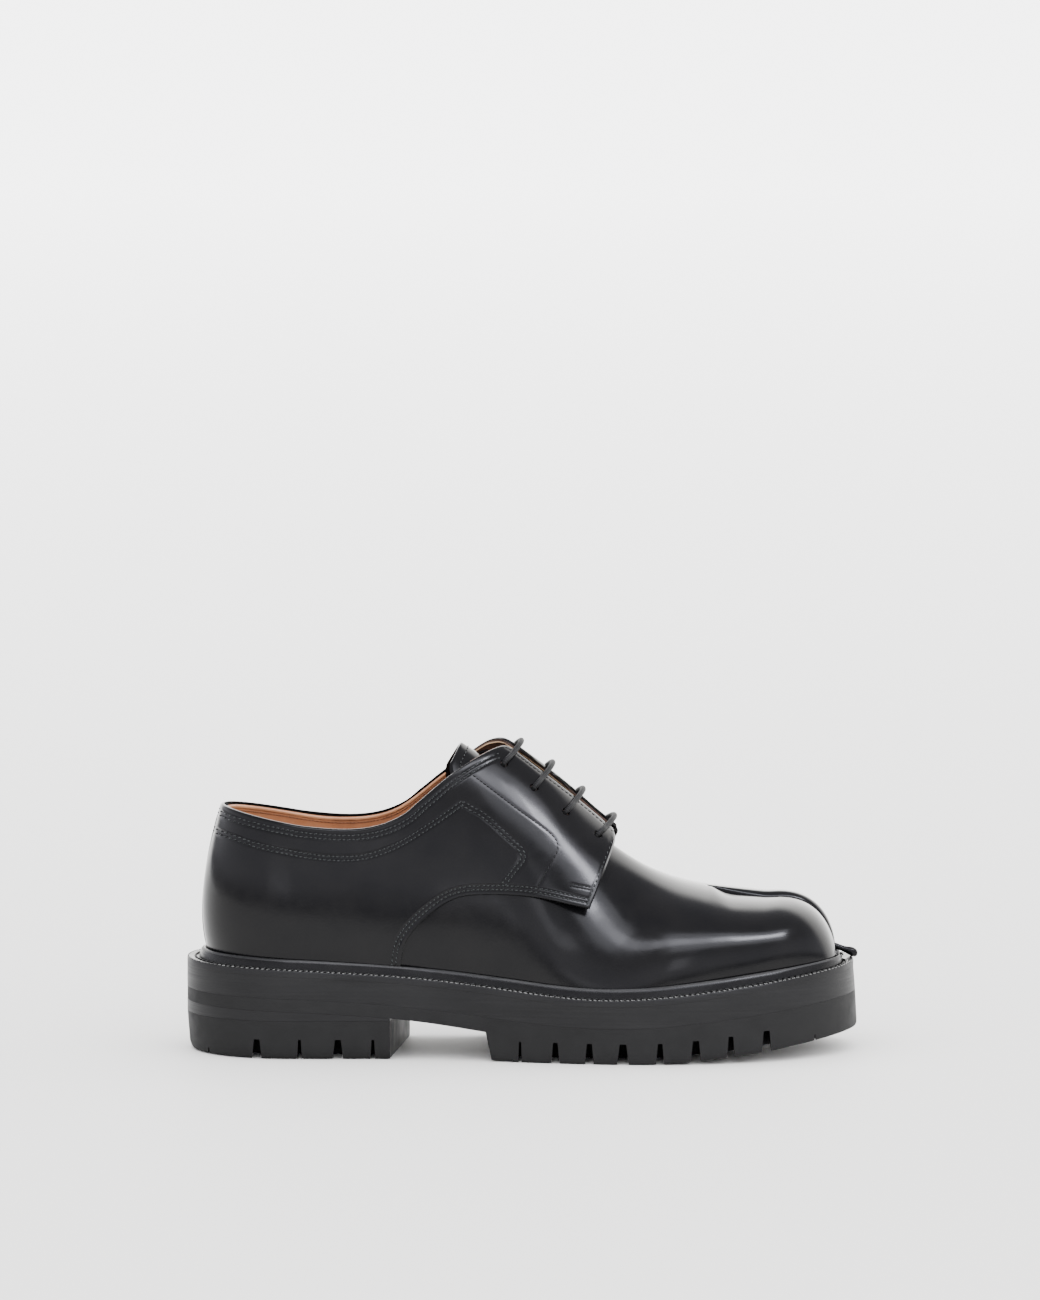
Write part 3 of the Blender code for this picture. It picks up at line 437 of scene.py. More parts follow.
def lastPoint(u, t, side, lifted=0.0, slack=0.0):
    # u below 0 goes round the heel, 0 to 1 along the foot; t from foot to ridge
    u, t = np.broadcast_arrays(np.asarray(u, float), np.asarray(t, float))
    heelX, back = lastSet["heelX"], lastSet["back"]
    x = heelX + (lastSet["toeX"] - heelX) * np.maximum(u, 0)
    foot = lastForm[sideKey[side]](x)
    loose = slack * window(x, *lastSet["looseAt"])   # rounder vamp before the flap
    reach = lastForm["reachLat" if side < 0 else "reachMed"](x) - lastSet["looseReach"] * loose
    split, low = lastForm["split"](x), seatZ(x)
    top = lastForm["ridge"](x) + lifted * lastForm["lift"](x)
    py = bez((side * foot, side * (foot + wallSwell(x, slack)), split + side * reach, split), t)
    pz = bez((low, low + lastForm["rise"](x) - lastSet["looseRise"] * loose, top, top), t)
    turn = np.clip(u + 1, 0, 1) * pi / 2
    c = np.where(u < 0, np.cos(turn), 0.0)
    s = np.where(u < 0, np.sin(turn), 1.0)
    footX = heelX + (back[0, 0] - heelX) * c
    footZ = seatZ(heelX) + (back[0, 1] - seatZ(heelX)) * c ** 2
    pz = pz + (bez(back[:, 1], t) - pz) * c ** 2 + np.where(u < 0, (seatZ(footX) - footZ) * (1 - t) ** 3, 0)
    return np.stack([x + (bez(back[:, 0], t) - heelX) * c, py * s, pz], -1)


def lastNormal(u, t, side, lifted=0.0):
    u, t = np.broadcast_arrays(np.asarray(u, float), np.asarray(t, float))
    along = lastPoint(u + 0.003, t, side, lifted) - lastPoint(np.maximum(u - 0.003, -1), t, side, lifted)
    above, below = np.minimum(t + 0.01, 1), np.maximum(t - 0.01, 0)
    up = lastPoint(u, above, side, lifted) - lastPoint(u, below, side, lifted)
    return unit(np.cross(along, up) * -side)


def tAtHeight(u, z, side, lifted=0.0):
    u, z = np.broadcast_arrays(np.asarray(u, float), np.asarray(z, float))
    low, high = np.zeros(u.shape), np.ones(u.shape)
    for _ in range(26):
        mid = (low + high) / 2
        under = lastPoint(u, mid, side, lifted)[..., 2] < z
        low, high = np.where(under, mid, low), np.where(under, high, mid)
    return (low + high) / 2


def uAt(x, z):   # station of a place in side view, round the heel too
    x, z = np.broadcast_arrays(np.asarray(x, float), np.asarray(z, float))
    heelX, back = lastSet["heelX"], lastSet["back"]
    t = np.linspace(0, 1, 400)
    backX = np.interp(z, bez(back[:, 1], t), bez(back[:, 0], t))
    turn = np.arccos(np.clip((x - heelX) / (backX - heelX), 0, 1))
    return np.where(x >= heelX, stationAt(x), turn / (pi / 2) - 1)


def quarterAt(x, z, side, out):   # point and normal of the quarter's form at a place in side view
    u = uAt(x, z)
    t = tAtHeight(u, z, side, 1.0)
    n = lastNormal(u, t, side, 1.0)
    return lastPoint(u, t, side, 1.0) + n * np.asarray(out)[..., None], n


def fromPhoto(pixels):   # photo pixels on the outer side to places in side view
    px = np.array(pixels, float)
    x = (px[:, 0] - cameraSet["origin"][0]) / cameraSet["perMm"] * mm
    flat = (cameraSet["origin"][1] - px[:, 1]) / cameraSet["perMm"] / cameraSet["upright"] * mm
    z = flat.copy()
    for _ in range(8):
        y = quarterAt(x, z, lateral, np.zeros(len(x)))[0][:, 1]
        z = flat - cameraSet["farther"] * y
    return np.stack([x, z], 1)


# upper: vamp with the split toe
vampSet = {
    "cleftX": 83 * mm, "notchX": 126 * mm, "cleftGap": 1.4 * mm, "cleftFloor": 3 * mm,
    "tipX": {lateral: 140 * mm, medial: 140.6 * mm}, "tipY": {lateral: -12 * mm, medial: 22 * mm},
    "crest": {lateral: 5 * mm, medial: 4.5 * mm}, "lipStep": (-2.5 * mm, -1.5 * mm), "eye": 3.2 * mm,
    "toePower": 2.3, "lobePower": 3.0, "slotHalf": 12 * mm, "slotFront": 34 * mm, "slotRound": 10 * mm,
    "wall": 1.5 * mm, "ease": (86 * mm, 13 * mm),
    "arch": 54, "roll": 9, "drop": 8,   # points up the wall, over the crest, down the cleft
}


def superellipse(q, power):
    return max(0.0, 1 - q ** power) ** (1 / power)


def toeX(u, side):
    return lastSet["toeX"] + (vampSet["tipX"][side] - lastSet["toeX"]) * sin((u - 1) * pi / 2)


def lobePlan(x, side):   # outer foot, inner edge and closing of a toe lobe
    s, toe = vampSet, lastSet["toeX"]
    split = float(lastForm["split"](min(x, toe)))
    foot = side * float(lastForm[sideKey[side]](min(x, toe)))
    past = max(0.0, x - s["cleftX"])
    inner = split + side * s["cleftGap"] * min(1.0, past / (6 * mm)) / 2
    if side < 0:   # round eye where the cleft begins
        inner -= s["eye"] * exp(-((past - 4.5 * mm) / (3.4 * mm)) ** 2) * min(1.0, past / (2 * mm))
    if x <= toe:
        return foot, inner, 1.0
    q = min(1.0, (x - toe) / (s["tipX"][side] - toe))
    foot += -side * 0.3 * (x - toe)
    close, tip = superellipse(q, s["toePower"]), s["tipY"][side]
    return tip + (foot - tip) * close, tip + (inner - tip) * superellipse(q, s["lobePower"]), close


def lobePath(x, side, arch, roll, drop):   # up the outer wall, over the crest, down into the cleft
    s, toe = vampSet, lastSet["toeX"]
    foot, inner, close = lobePlan(x, side)
    low, at = float(seatZ(x)), min(x, toe)
    grow = min(1.0, (x - s["cleftX"]) / (toe - s["cleftX"]))
    crestZ = ridgeZ = float(lastForm["ridge"](at))
    if side < 0:
        step = s["lipStep"][0] + (s["lipStep"][1] - s["lipStep"][0]) * grow
        crestZ += step * (1 - cos(pi * min(1.0, (x - s["cleftX"]) / (10 * mm)))) / 2
    crestZ = low + (crestZ - float(seatZ(at))) * close
    ridgeZ = low + (ridgeZ - float(seatZ(at))) * close
    width = abs(inner - foot)
    plan = lobePlan(at, side)
    share = s["crest"][side] * sqrt(grow) / abs(plan[1] - plan[0])
    share += (0.3 - share) * (1 - close) if x > toe else 0.0
    crestY = inner + side * share * width
    reach = (0.67 + 0.15 * grow) * (0.1 + 0.9 * close) * abs(foot - crestY)
    y = (foot, foot + side * float(wallSwell(at, 1.0)) * close, crestY + side * reach, crestY)
    z = (low, low + float(lastForm["rise"](at)) * close, crestZ, crestZ)
    points = [np.stack([bez(y, arch), bez(z, arch)], 1)]
    deep = sin(min(1.0, (x - s["cleftX"]) / (s["notchX"] - s["cleftX"])) * pi / 2)
    bottom = ridgeZ - (ridgeZ - low) * deep
    if x <= s["notchX"] + 2 * mm:
        bottom = max(bottom, low + s["cleftFloor"])
    sideY = inner + side * 0.5 * mm * min(1.0, width / (10 * mm))
    depth = min(0.75 * abs(crestY - sideY), crestZ - bottom)
    edgeZ = crestZ - depth
    rounded = [crestY + (sideY - crestY) * np.sin(roll), crestZ - depth * (1 - np.cos(roll))]
    points.append(np.stack(rounded, 1))
    points.append(np.stack([sideY + (inner - sideY) * drop, edgeZ - (edgeZ - bottom) * drop], 1))
    points = np.concatenate(points)
    return np.column_stack([np.full(len(points), x), points])


def flapFade(x):   # how far the inner wall follows the raised facings
    return np.clip((5 * mm - x) / (25 * mm), 0, 1)


def upperGrid(side, stations, inset=0.0, drop=0.0):   # one side's outer face, trimmed at collar and throat
    s = vampSet
    arch = np.linspace(0, 1, s["arch"])
    roll = np.linspace(0, pi / 2, s["roll"] + 1)[1:]
    falls = np.linspace(0, 1, s["drop"] + 1)[1:]
    extra = s["roll"] + s["drop"]
    spread = np.concatenate([arch * 0.9, 0.9 + 0.1 * np.arange(1, extra + 1) / extra])
    dense = np.linspace(0, 1, 401)
    rows = []
    for u in stations:
        x = toeX(u, side) if u > 1 else lastSet["heelX"] + (lastSet["toeX"] - lastSet["heelX"]) * u
        if x > s["cleftX"]:
            rows.append(lobePath(x, side, arch, roll, falls))
            continue
        lifted = float(flapFade(x))
        line, end = lastPoint(u, dense, side, lifted, 1.0), 1.0
        if x < s["slotFront"]:
            at = x if u > 0 else float(np.interp(0.4, dense, line[:, 0]))
            if at < -10 * mm:
                end = float(np.interp(float(collarZ(at)) - 1.2 * mm - drop, line[:, 2], dense))
            if x > -40 * mm:
                near = max(0.0, x - (s["slotFront"] - s["slotRound"])) / s["slotRound"]
                half = s["slotHalf"] * sqrt(max(0.0, 1 - near ** 2))
                off = np.abs(line[:, 1] - float(lastForm["split"](x)))
                end = min(end, float(np.interp(-half, -off[100:], dense[100:])))
        t = spread * end
        rows.append(lastPoint(u, t, side, lifted, 1.0) - lastNormal(u, t, side, lifted) * inset)
    return np.array(rows)


def footStations():
    toe = np.linspace(1, 2, 34)[1:]
    body = np.linspace(-100, 110, 150)
    cleft = [82.6, 83.1, 83.5, 84, 84.8, 85.8, 86.6]   # closer where the cleft begins
    body = np.sort(np.concatenate([body[np.abs(body - 84.5) > 2.2], cleft]))
    return np.concatenate([np.linspace(-1, 0, 40)[:-1], stationAt(body * mm), toe])


def easeCleft(grid):   # even out the walls beside the cleft's start
    soft = evenRows(grid.copy(), 90)
    cols = np.clip((vampSet["arch"] - 4 - np.arange(grid.shape[1])) / 14, 0, 1)
    middle, run = vampSet["ease"]
    rows = np.exp(-((grid[:, :1, 0] - middle) / run) ** 2)
    return grid + (soft - grid) * (rows * cols)[..., None]


def makeUpper():
    stations = footStations()
    sides = {s: easeCleft(evenRows(upperGrid(s, stations), 4)) for s in (lateral, medial)}
    rows, cols = sides[lateral].shape[:2]
    faces = gridFaces(rows, cols) + gridFaces(rows, cols, rows * cols, True)
    size, last = rows * cols, cols - 1
    for i in range(rows - 1):   # floor of the cleft
        front = sides[lateral][i + 1, -1, 0]
        if sides[lateral][i, -1, 0] > 80 * mm and front <= vampSet["notchX"] + 2 * mm:
            a, b = i * cols + last, (i + 1) * cols + last
            faces.append([a, b, b + size, a + size])
    points = np.concatenate([sides[lateral].reshape(-1, 3), sides[medial].reshape(-1, 3)])
    obj = makeMesh("vamp", points, faces, vampLeather, 2e-5, 70)
    wall = obj.modifiers.new("wall", "SOLIDIFY")
    wall.thickness = vampSet["wall"]
    wall.offset = -1
    wall.use_even_offset = False
    return place(obj, "leather", "upper")


makeUpper()
print("vamp made")

# quarters
quarterSet = {
    "inner": 0.25 * mm, "thick": 1.3 * mm, "cutRound": 0.4 * mm, "foldRound": 1.1 * mm, "foot": 1.6 * mm,
    "groove": 0.2 * mm, "grooveWide": 0.5 * mm, "waves": 0.16 * mm, "fine": 104,
    # far side's facing and front corner: where the change starts, its run, how much
    "farRise": (-26 * mm, 10 * mm, 2.2 * mm), "farCorner": (31 * mm, 8.6 * mm, 2.4 * mm),
    # lines from the lower edge to the upper edge in side view: x and z below, x and z above, -1 at the seat
    "lines": [
        (-100, -1, -100, 102.9), (-84, -1, -80, 101.3), (-68, -1, -64, 103.0), (-57, -1, -53, 107.7),
        (-54, 43.0, -48, 111.7), (-51, 53.5, -43, 115.9), (-40, 64.8, -33, 124.0), (-29, 71.4, -21, 131.6),
        (-17, 73.0, -10, 135.8), (-5, 73.0, -2, 132.0), (8, 71.7, 13, 120.6), (20, 69.0, 27, 109.2),
        (29.4, 67.0, 39.6, 98.3),
    ],
    "front": [(67, 29.4), (80, 34.9), (91.7, 40.0), (94, 40.8), (95.8, 41.0), (97.2, 40.5), (98.3, 39.6)],
}


def quarterLines(count):   # dense lines between the table's
    rows = np.array(quarterSet["lines"], float) * mm
    seat = rows[:, 1] < 0
    rows[seat, 1] = seatZ(rows[seat, 0]) + quarterSet["foot"]
    k = np.linspace(0, len(rows) - 1, count)
    at = np.arange(len(rows))
    return np.stack([curveThrough(at, rows[:, c])(k) for c in range(4)], 1), np.clip(k - len(rows) + 2, 0, 1)


def edgeShares(length, fine):   # shares of a line, close together at both ends
    ends = np.array([0, 0.08, 0.2, 0.36, 0.55, 0.8, 1.1, 1.5, 2.0]) * mm
    middle = np.linspace(2.0 * mm, length - 2.0 * mm, fine)[1:-1]
    return np.concatenate([ends, middle, (length - ends)[::-1]]) / length


def nearLine(points, path):   # distance of side-view places from a path
    best = np.full(len(points), 1.0)
    for a, b in zip(path[:-1], path[1:]):
        d = b - a
        w = np.clip(((points - a) @ d) / max(d @ d, 1e-12), 0, 1)
        best = np.minimum(best, np.linalg.norm(points - a - w[:, None] * d, axis=1))
    return best


def offsetLine(path, distance):   # to the left of its way in side view
    d = np.gradient(path, axis=0)
    n = np.stack([-d[:, 1], d[:, 0]], 1)
    return path + unit(n) * distance


def edgeLines():   # outer edges of the quarter in side view
    lines, _ = quarterLines(260)
    low = resample(lines[lines[:, 0] > -57 * mm][:, :2], 0.5 * mm)
    heel = np.linspace(-136, -101, 30) * mm
    top = np.concatenate([np.stack([heel, collarZ(heel)], 1), lines[:, 2:]])
    front = np.array(quarterSet["front"]) * mm
    return low, top, resample(front[:, ::-1], 0.5 * mm)


seamSet = {   # decorative seams, in photo pixels
    "swan": [(216, 830), (235, 838), (254, 845), (284, 852.5), (314, 858), (338, 860), (359, 859.5),
             (381, 854.5), (403, 845), (423, 833), (443, 820), (462, 806.5)],
    "fall": [(463.5, 806.5), (481, 816), (497, 829), (514, 845), (521.5, 853), (523, 860),
             (518, 868), (505, 885)],
    "single": [(468, 774), (494, 794), (520, 814), (543, 831), (553, 840), (557, 849),
               (554, 858), (546, 873), (537, 889)],
}


def seamRows():   # stitch rows of one side in side view: path, step, length, radius, thread
    low, top, front = edgeLines()
    collar = top[top[:, 0] < -12 * mm]
    facing = top[top[:, 0] > -8 * mm]
    rows = []

    def sew(path, step, length, radius, thread):   # sizes in mm
        rows.append((path, step * mm, length * mm, radius * mm, thread))

    for d in (2.2 * mm, 3.9 * mm):
        sew(offsetLine(low, d)[4:-3], 2.1, 1.5, 0.36, seamThread)
    for d in (3.0 * mm, 4.8 * mm):
        sew(offsetLine(collar, -d)[1:], 2.1, 1.5, 0.34, seamThread)
    sew(offsetLine(front, 1.9 * mm)[3:-8], 2.0, 1.45, 0.32, seamThread)
    sew(offsetLine(facing, -1.1 * mm), 2.2, 1.5, 0.24, edgeThread)
    drawn = {name: splinePath(fromPhoto(pixels), 1 * mm) for name, pixels in seamSet.items()}
    for path in (drawn["swan"], drawn["fall"]):
        for d in (-0.85 * mm, 0.85 * mm):
            sew(offsetLine(path, d), 2.1, 1.5, 0.34, seamThread)
    sew(drawn["single"], 1.9, 1.5, 0.34, darkThread)
    tack = resample(fromPhoto([(571, 887), (588, 890.5)]), 1 * mm)
    for d in (-0.55 * mm, 0.55 * mm):
        sew(offsetLine(tack, d), 1.7, 1.5, 0.3, darkThread)
    return rows


seams = seamRows()
grooveLines = [(resample(row[0], 2.5 * mm), 0.4 if row[4] == darkThread else 1.0) for row in seams]


def facingRise(x, side):   # the far facing stands a little higher
    start, run, up = quarterSet["farRise"]
    return np.where(side > 0, up * np.clip((x - start) / run, 0, 1), 0.0)


def makeQuarter(name, side, node):
    s = quarterSet
    lines, pull = quarterLines(220)
    lines[:, 3] += facingRise(lines[:, 2], side)
    if side > 0:   # its corner shows past the near one
        start, run, out = s["farCorner"]
        lines[:, 2] += out * np.clip((lines[:, 2] - start) / run, 0, 1) ** 2
    rowU, rowT, flatX, flatZ, shares = [], [], [], [], []
    front = np.array(s["front"]) * mm

    def addRow(u, x, z, w, length):
        rowU.append(np.broadcast_to(u, len(w)))
        rowT.append(tAtHeight(u, z, side, 1.0))
        flatX.append(x)
        flatZ.append(z)
        shares.append(np.stack([w, np.full(len(w), length)]))

    for u in np.linspace(-1, 0, 62)[:-1]:   # round the heel
        dense = np.linspace(0, 1, 401)
        line = lastPoint(u, dense, side)
        z0 = line[0, 2] + s["foot"]
        z1 = float(collarZ(np.interp(0.4, dense, line[:, 0])))
        w = edgeShares(z1 - z0, s["fine"])
        z = z0 + (z1 - z0) * w
        addRow(u, np.interp(z, line[:, 2], line[:, 0]), z, w, z1 - z0)
    for (x0, z0, x1, z1), k in zip(lines, pull):   # to the front edge
        length = sqrt((x1 - x0) ** 2 + (z1 - z0) ** 2)
        w = edgeShares(length, s["fine"])
        x, z = x0 + (x1 - x0) * w, z0 + (z1 - z0) * w
        bow = np.interp(z, *front.T) - np.interp(z, *front[[0, -1]].T)   # rounded corner at the front
        x = x + bow * k ** 3
        addRow(uAt(x, z), x, z, w, length)
    u, t = np.array(rowU), np.array(rowT)
    base = evenRows(lastPoint(u, t, side, 1.0), 10)
    normal = unit(evenRows(lastNormal(u, t, side, 1.0), 10))
    if side > 0:
        base[0, :, 1] = np.maximum(base[0, :, 1], 0.05 * mm)
    shares = np.array(shares)
    low = shares[:, 0] * shares[:, 1]
    high = shares[:, 1] - low
    places = np.stack([np.array(flatX), np.array(flatZ)], -1)
    ahead = np.linalg.norm(np.diff(base, axis=0), axis=-1)
    toFront = np.concatenate([np.cumsum(ahead[::-1], axis=0)[::-1], np.zeros((1, base.shape[1]))])

    def rounded(d, r):
        return np.sqrt(np.clip(1 - (1 - np.clip(d / r, 0, 1)) ** 2, 0, 1))

    body = rounded(low, s["cutRound"]) * rounded(high, s["foldRound"]) * rounded(toFront, s["cutRound"])
    flat = places.reshape(-1, 2)
    seam = np.zeros(len(flat))
    for path, deep in grooveLines:
        seam = np.maximum(seam, deep * np.exp(-(nearLine(flat, path) / s["grooveWide"]) ** 2))
    out = s["thick"] * body - s["groove"] * seam.reshape(body.shape) * body
    x, z = places[..., 0], places[..., 1]
    waves = np.sin(x / mm / 9.5 + z / mm / 21 + side) * np.sin(x / mm / 17 - z / mm / 13 + 1.3)
    waves *= np.clip((-30 * mm - x) / (25 * mm), 0, 1) * np.clip(np.minimum(low, high) / (9 * mm), 0, 1)
    out = out + s["waves"] * waves
    outer = base + normal * (s["inner"] + out)[..., None]
    inner = base + normal * s["inner"]
    obj = sheetMesh(name, outer, inner, quarterLeather, 50)
    return place(obj, "leather", node)


holeSet = {"places": [(-8.7, 128.6), (4.5, 118.2), (18.4, 107.4), (32.5, 97.0)], "radius": 1.75 * mm}


def drillHoles(obj, side):   # lace holes
    drills = []
    for x, z in holeSet["places"]:
        p, n = quarterAt(np.array([x * mm]), np.array([z * mm]), side, np.zeros(1))
        drills.append(tube([p[0] - n[0] * 4 * mm, p[0] + n[0] * 6 * mm], holeSet["radius"], 20))
    points, faces = joined(drills)
    cutter = makeMesh(obj.name + "Drill", points, faces, quarterLeather)
    cutAway(obj, cutter)


def cutAway(obj, cutter):   # cut once, then the cutter goes
    change = obj.modifiers.new("cut", "BOOLEAN")
    change.operation = "DIFFERENCE"
    change.solver = "EXACT"
    change.object = cutter
    dg = bpy.context.evaluated_depsgraph_get()
    mesh = bpy.data.meshes.new_from_object(obj.evaluated_get(dg))
    obj.modifiers.clear()
    old = obj.data
    obj.data = mesh
    bpy.data.meshes.remove(old)
    bpy.data.objects.remove(cutter, do_unlink=True)


drillHoles(makeQuarter("quarterLateral", lateral, "quarter_lateral"), lateral)
drillHoles(makeQuarter("quarterMedial", medial, "quarter_medial"), medial)
print("quarters made")

# stitches
stitchSet = {
    # share of the length, share of the radius
    "rings": [(-0.5, 0.3), (-0.4, 0.85), (0.0, 1.0), (0.4, 0.85), (0.5, 0.3)],
    "sides": 6, "lean": 0.22,
}


def stitchBodies(places, ahead, normals, length, radius, lean=0.0):   # one small bead of thread at each place
    ahead = unit(ahead - normals * np.sum(ahead * normals, axis=1)[:, None])
    across = np.cross(normals, ahead)
    along = ahead * cos(lean) + across * sin(lean)
    across = np.cross(normals, along)
    sides = stitchSet["sides"]
    angle = np.arange(sides) * 2 * pi / sides
    rings = []
    for s, r in stitchSet["rings"]:
        for a in angle:
            girth = across * (r * radius * cos(a)) + normals * (r * radius * sin(a))
            rings.append(places + along * (s * length) + girth)
    points = np.stack(rings, 1)
    count = points.shape[1]
    one = loftFaces(len(stitchSet["rings"]), sides)
    faces = [[k * count + i for i in face] for k in range(len(points)) for face in one]
    return points.reshape(-1, 3), faces


def makeSeams(name, side):
    top = quarterSet["inner"] + quarterSet["thick"] - 0.10 * mm
    for thread, ending in ((seamThread, ""), (darkThread, "Dark"), (edgeThread, "Edge")):
        bodies = []
        for path, step, length, radius, kind in seams:
            if kind == thread:
                flat = resample(path, step)
                p, n = quarterAt(flat[:, 0], flat[:, 1], side, np.full(len(flat), top))
                bodies.append(stitchBodies(p, np.gradient(p, axis=0), n, length, radius, stitchSet["lean"]))
        points, faces = joined(bodies)
        place(makeMesh(name + ending, points, faces, thread), "lace")


makeSeams("seamsLateral", lateral)
makeSeams("seamsMedial", medial)
print("seams sewn")

# lining, with its pale band along the collar
liningSet = {"inset": 1.6 * mm, "thick": 0.5 * mm, "topDrop": -0.4 * mm}


def makeLining():
    stations = footStations()
    stations = stations[stations < stationAt(-23 * mm)]
    s = liningSet
    faces = []
    for inset in (s["inset"] + s["thick"], s["inset"]):   # its face, then its back
        near, far = [upperGrid(side, stations, inset, s["topDrop"]) for side in (lateral, medial)]
        grid = evenRows(np.concatenate([near[::-1], far[1:]]), 4)
        faces.append(grid[:, np.linspace(0, grid.shape[1] - 1, 40).astype(int)])
    place(sheetMesh("lining", *faces, liningLeather, 60), "insole")


def collarPath(side, below, inset):   # along the inside of the collar
    u = np.concatenate([np.linspace(-1, 0, 50)[:-1], np.linspace(0, stationAt(-24 * mm), 80)])
    x = np.where(u < 0, 0, lastSet["heelX"] + 210 * mm * u)
    points, normals = [], []
    dense = np.linspace(0, 1, 401)
    for a, b in zip(u, x):
        lifted = float(flapFade(b)) if a >= 0 else 1.0
        line = lastPoint(a, dense, side, lifted)
        at = b if a > 0 else float(np.interp(0.4, dense, line[:, 0]))
        t = np.interp(float(collarZ(at)) - below, line[:, 2], dense)
        n = lastNormal(a, t, side, lifted)
        points.append(lastPoint(a, t, side, lifted) - n * inset)
        normals.append(-n)
    return np.array(points), np.array(normals)


def makeBand():   # folded band of paler leather inside the collar, and its stitches
    s = liningSet
    base = s["inset"] + s["thick"] + 0.06 * mm
    depth = [0.9, 1.0, 1.2, 1.5, 1.8, 2.1, 2.25, 2.35]
    proud = [0.0, 0.3, 0.4, 0.4, 0.4, 0.35, 0.2, 0.0]
    faces = []
    for share in (1.0, 0.0):   # its face, then its back
        rows = []
        for d, h in zip(depth, proud):
            near, far = [collarPath(side, d * mm, base + share * h * mm)[0] for side in (lateral, medial)]
            rows.append(evenRows(np.concatenate([near[::-1], far[1:]]), 4))
        faces.append(np.stack(rows, 1))
    place(sheetMesh("collarBand", *faces, bandLeather, 60), "insole")
    bodies = []
    for side in (lateral, medial):
        p, n = collarPath(side, 3.4 * mm, base + 0.02 * mm)
        both = resample(np.concatenate([p, n], 1)[2:], 2.4 * mm)
        p, n = both[:, :3], both[:, 3:]
        bodies.append(stitchBodies(p, np.gradient(p, axis=0), n, 1.8 * mm, 0.24 * mm))
    points, faces = joined(bodies)
    place(makeMesh("liningStitches", points, faces, tanThread), "lace")


def makeFacingLining(name, side, material, start, base, thick, deep=18.4):   # its raw edge shows
    lines, _ = quarterLines(220)
    lines[:, 3] += facingRise(lines[:, 2], side)
    rows = lines[lines[:, 2] > -24 * mm]
    d = (start + deep * np.array([0, 0.007, 0.02, 0.045, 0.11, 0.27, 0.5, 0.65, 0.8, 0.98, 1])) * mm
    soft = np.clip(np.minimum(d - d[0], d[-1] - d) / (0.016 * deep * mm), 0, 1)
    outer, inner = [], []
    for x0, z0, x1, z1 in rows:
        length = sqrt((x1 - x0) ** 2 + (z1 - z0) ** 2)
        w = 1 - d / length
        x, z = x0 + (x1 - x0) * w, z0 + (z1 - z0) * w
        outer.append(quarterAt(x, z, side, quarterSet["inner"] - base - 0.1 * mm * (1 - soft))[0])
        inner.append(quarterAt(x, z, side, quarterSet["inner"] - base - thick * (0.6 + 0.4 * soft))[0])
    return place(sheetMesh(name, np.array(outer), np.array(inner), material, 60), "insole")


makeLining()
makeBand()
for sideName, side, start in (("Lateral", lateral, -0.35), ("Medial", medial, 0.5)):
    makeFacingLining("facingBacking" + sideName, side, rawEdge, start, 0.03 * mm, 0.5 * mm)
    makeFacingLining("facingLining" + sideName, side, rawEdge, start + 0.1, 0.56 * mm, 0.45 * mm)
    makeFacingLining("facingBead" + sideName, side, beadLeather, start + 0.35, 1.05 * mm, 0.25 * mm, 0.5)
print("lining fitted")

# tongue
tongueSet = {
    # across it: place along the foot, drop under the ridge, half width
    "lines": [(43, 4.2, 13), (30, 4.4, 14.5), (16, 4.8, 15.5), (3, 5.2, 16), (-9, 6.0, 16.5),
              (-17, 6.6, 16.5), (-23.5, 7.0, 16)],
    "thick": 2.0 * mm, "endLean": 0.55, "round": 0.8 * mm,
}


def ridgeUp(x):
    slope = (lastForm["ridge"](x + 0.5 * mm) - lastForm["ridge"](x - 0.5 * mm)) / mm
    return unit(np.array((-slope, 0, 1)))


def tongueRow(k, drop, half, extra, count):   # one line across the tongue
    up, dense = ridgeUp(k), np.linspace(0.3, 1, 301)
    u, row = stationAt(k), []
    for side in (lateral, medial):
        line = lastPoint(u, dense, side)
        off = np.abs(line[:, 1] - float(lastForm["split"](k)))
        way = np.linspace(0, half, count)
        t = np.interp(-way, -off, dense)
        part = lastPoint(u, t, side) - up * (drop + extra)
        fall = part[0, 2] - part[:, 2]
        lean = tongueSet["endLean"] * np.clip((4 * mm - k) / (24 * mm), 0, 1)
        part[:, 0] -= lean * fall
        row.append(part)
    return np.concatenate([row[0][::-1], row[1][1:]])


def makeTongue():
    rows = np.array(tongueSet["lines"]) * mm
    gone = -rows[:, 0]
    tip = gone[-1] - np.array([0.9, 0.6, 0.35, 0.15, 0]) * mm
    k = np.concatenate([np.linspace(gone[0], gone[-1] - 1.2 * mm, 70), tip])
    drop, half = curveThrough(gone, rows[:, 1])(k), curveThrough(gone, rows[:, 2])(k)
    end = gone[-1] - k
    half = half - 3.2 * mm * np.clip(1 - end / (4 * mm), 0, 1) ** 2   # rounded corners at the top
    thick, r = tongueSet["thick"], tongueSet["round"]
    outer, inner = [], []
    for a, d, h, e in zip(k, drop, half, end):
        soft = r * (1 - sqrt(max(0.0, 1 - (1 - min(1.0, e / r)) ** 2)))
        outer.append(tongueRow(-a, d, h, soft, 26))
        inner.append(tongueRow(-a, d, h, thick - soft, 26))
    outer, inner = np.array(outer), np.array(inner)
    place(sheetMesh("tongue", outer, inner, tongueLeather, 50), "leather", "tongue")
    # one row of stitches inside its edge
    run = np.concatenate([outer[8:-8, 4], outer[-8, 5:-5], outer[8:-8, -5][::-1]])
    flat = resample(run, 2.2 * mm)
    up = np.array([ridgeUp(max(-23 * mm, min(40 * mm, p[0]))) for p in flat])
    lean = np.clip(flat[:, 1] / (16 * mm), -1, 1)
    up[:, 1] = lean * 0.7
    up = unit(up)
    points, faces = stitchBodies(flat + up * 0.05 * mm, np.gradient(flat, axis=0), up, 1.7 * mm, 0.26 * mm)
    place(makeMesh("tongueStitches", points, faces, seamThread), "lace")


makeTongue()
print("tongue made")

# lace: four straight bars, drawn through the holes
laceSet = {"radius": 1.22 * mm, "lean": 5 * mm, "over": 0.25 * mm}


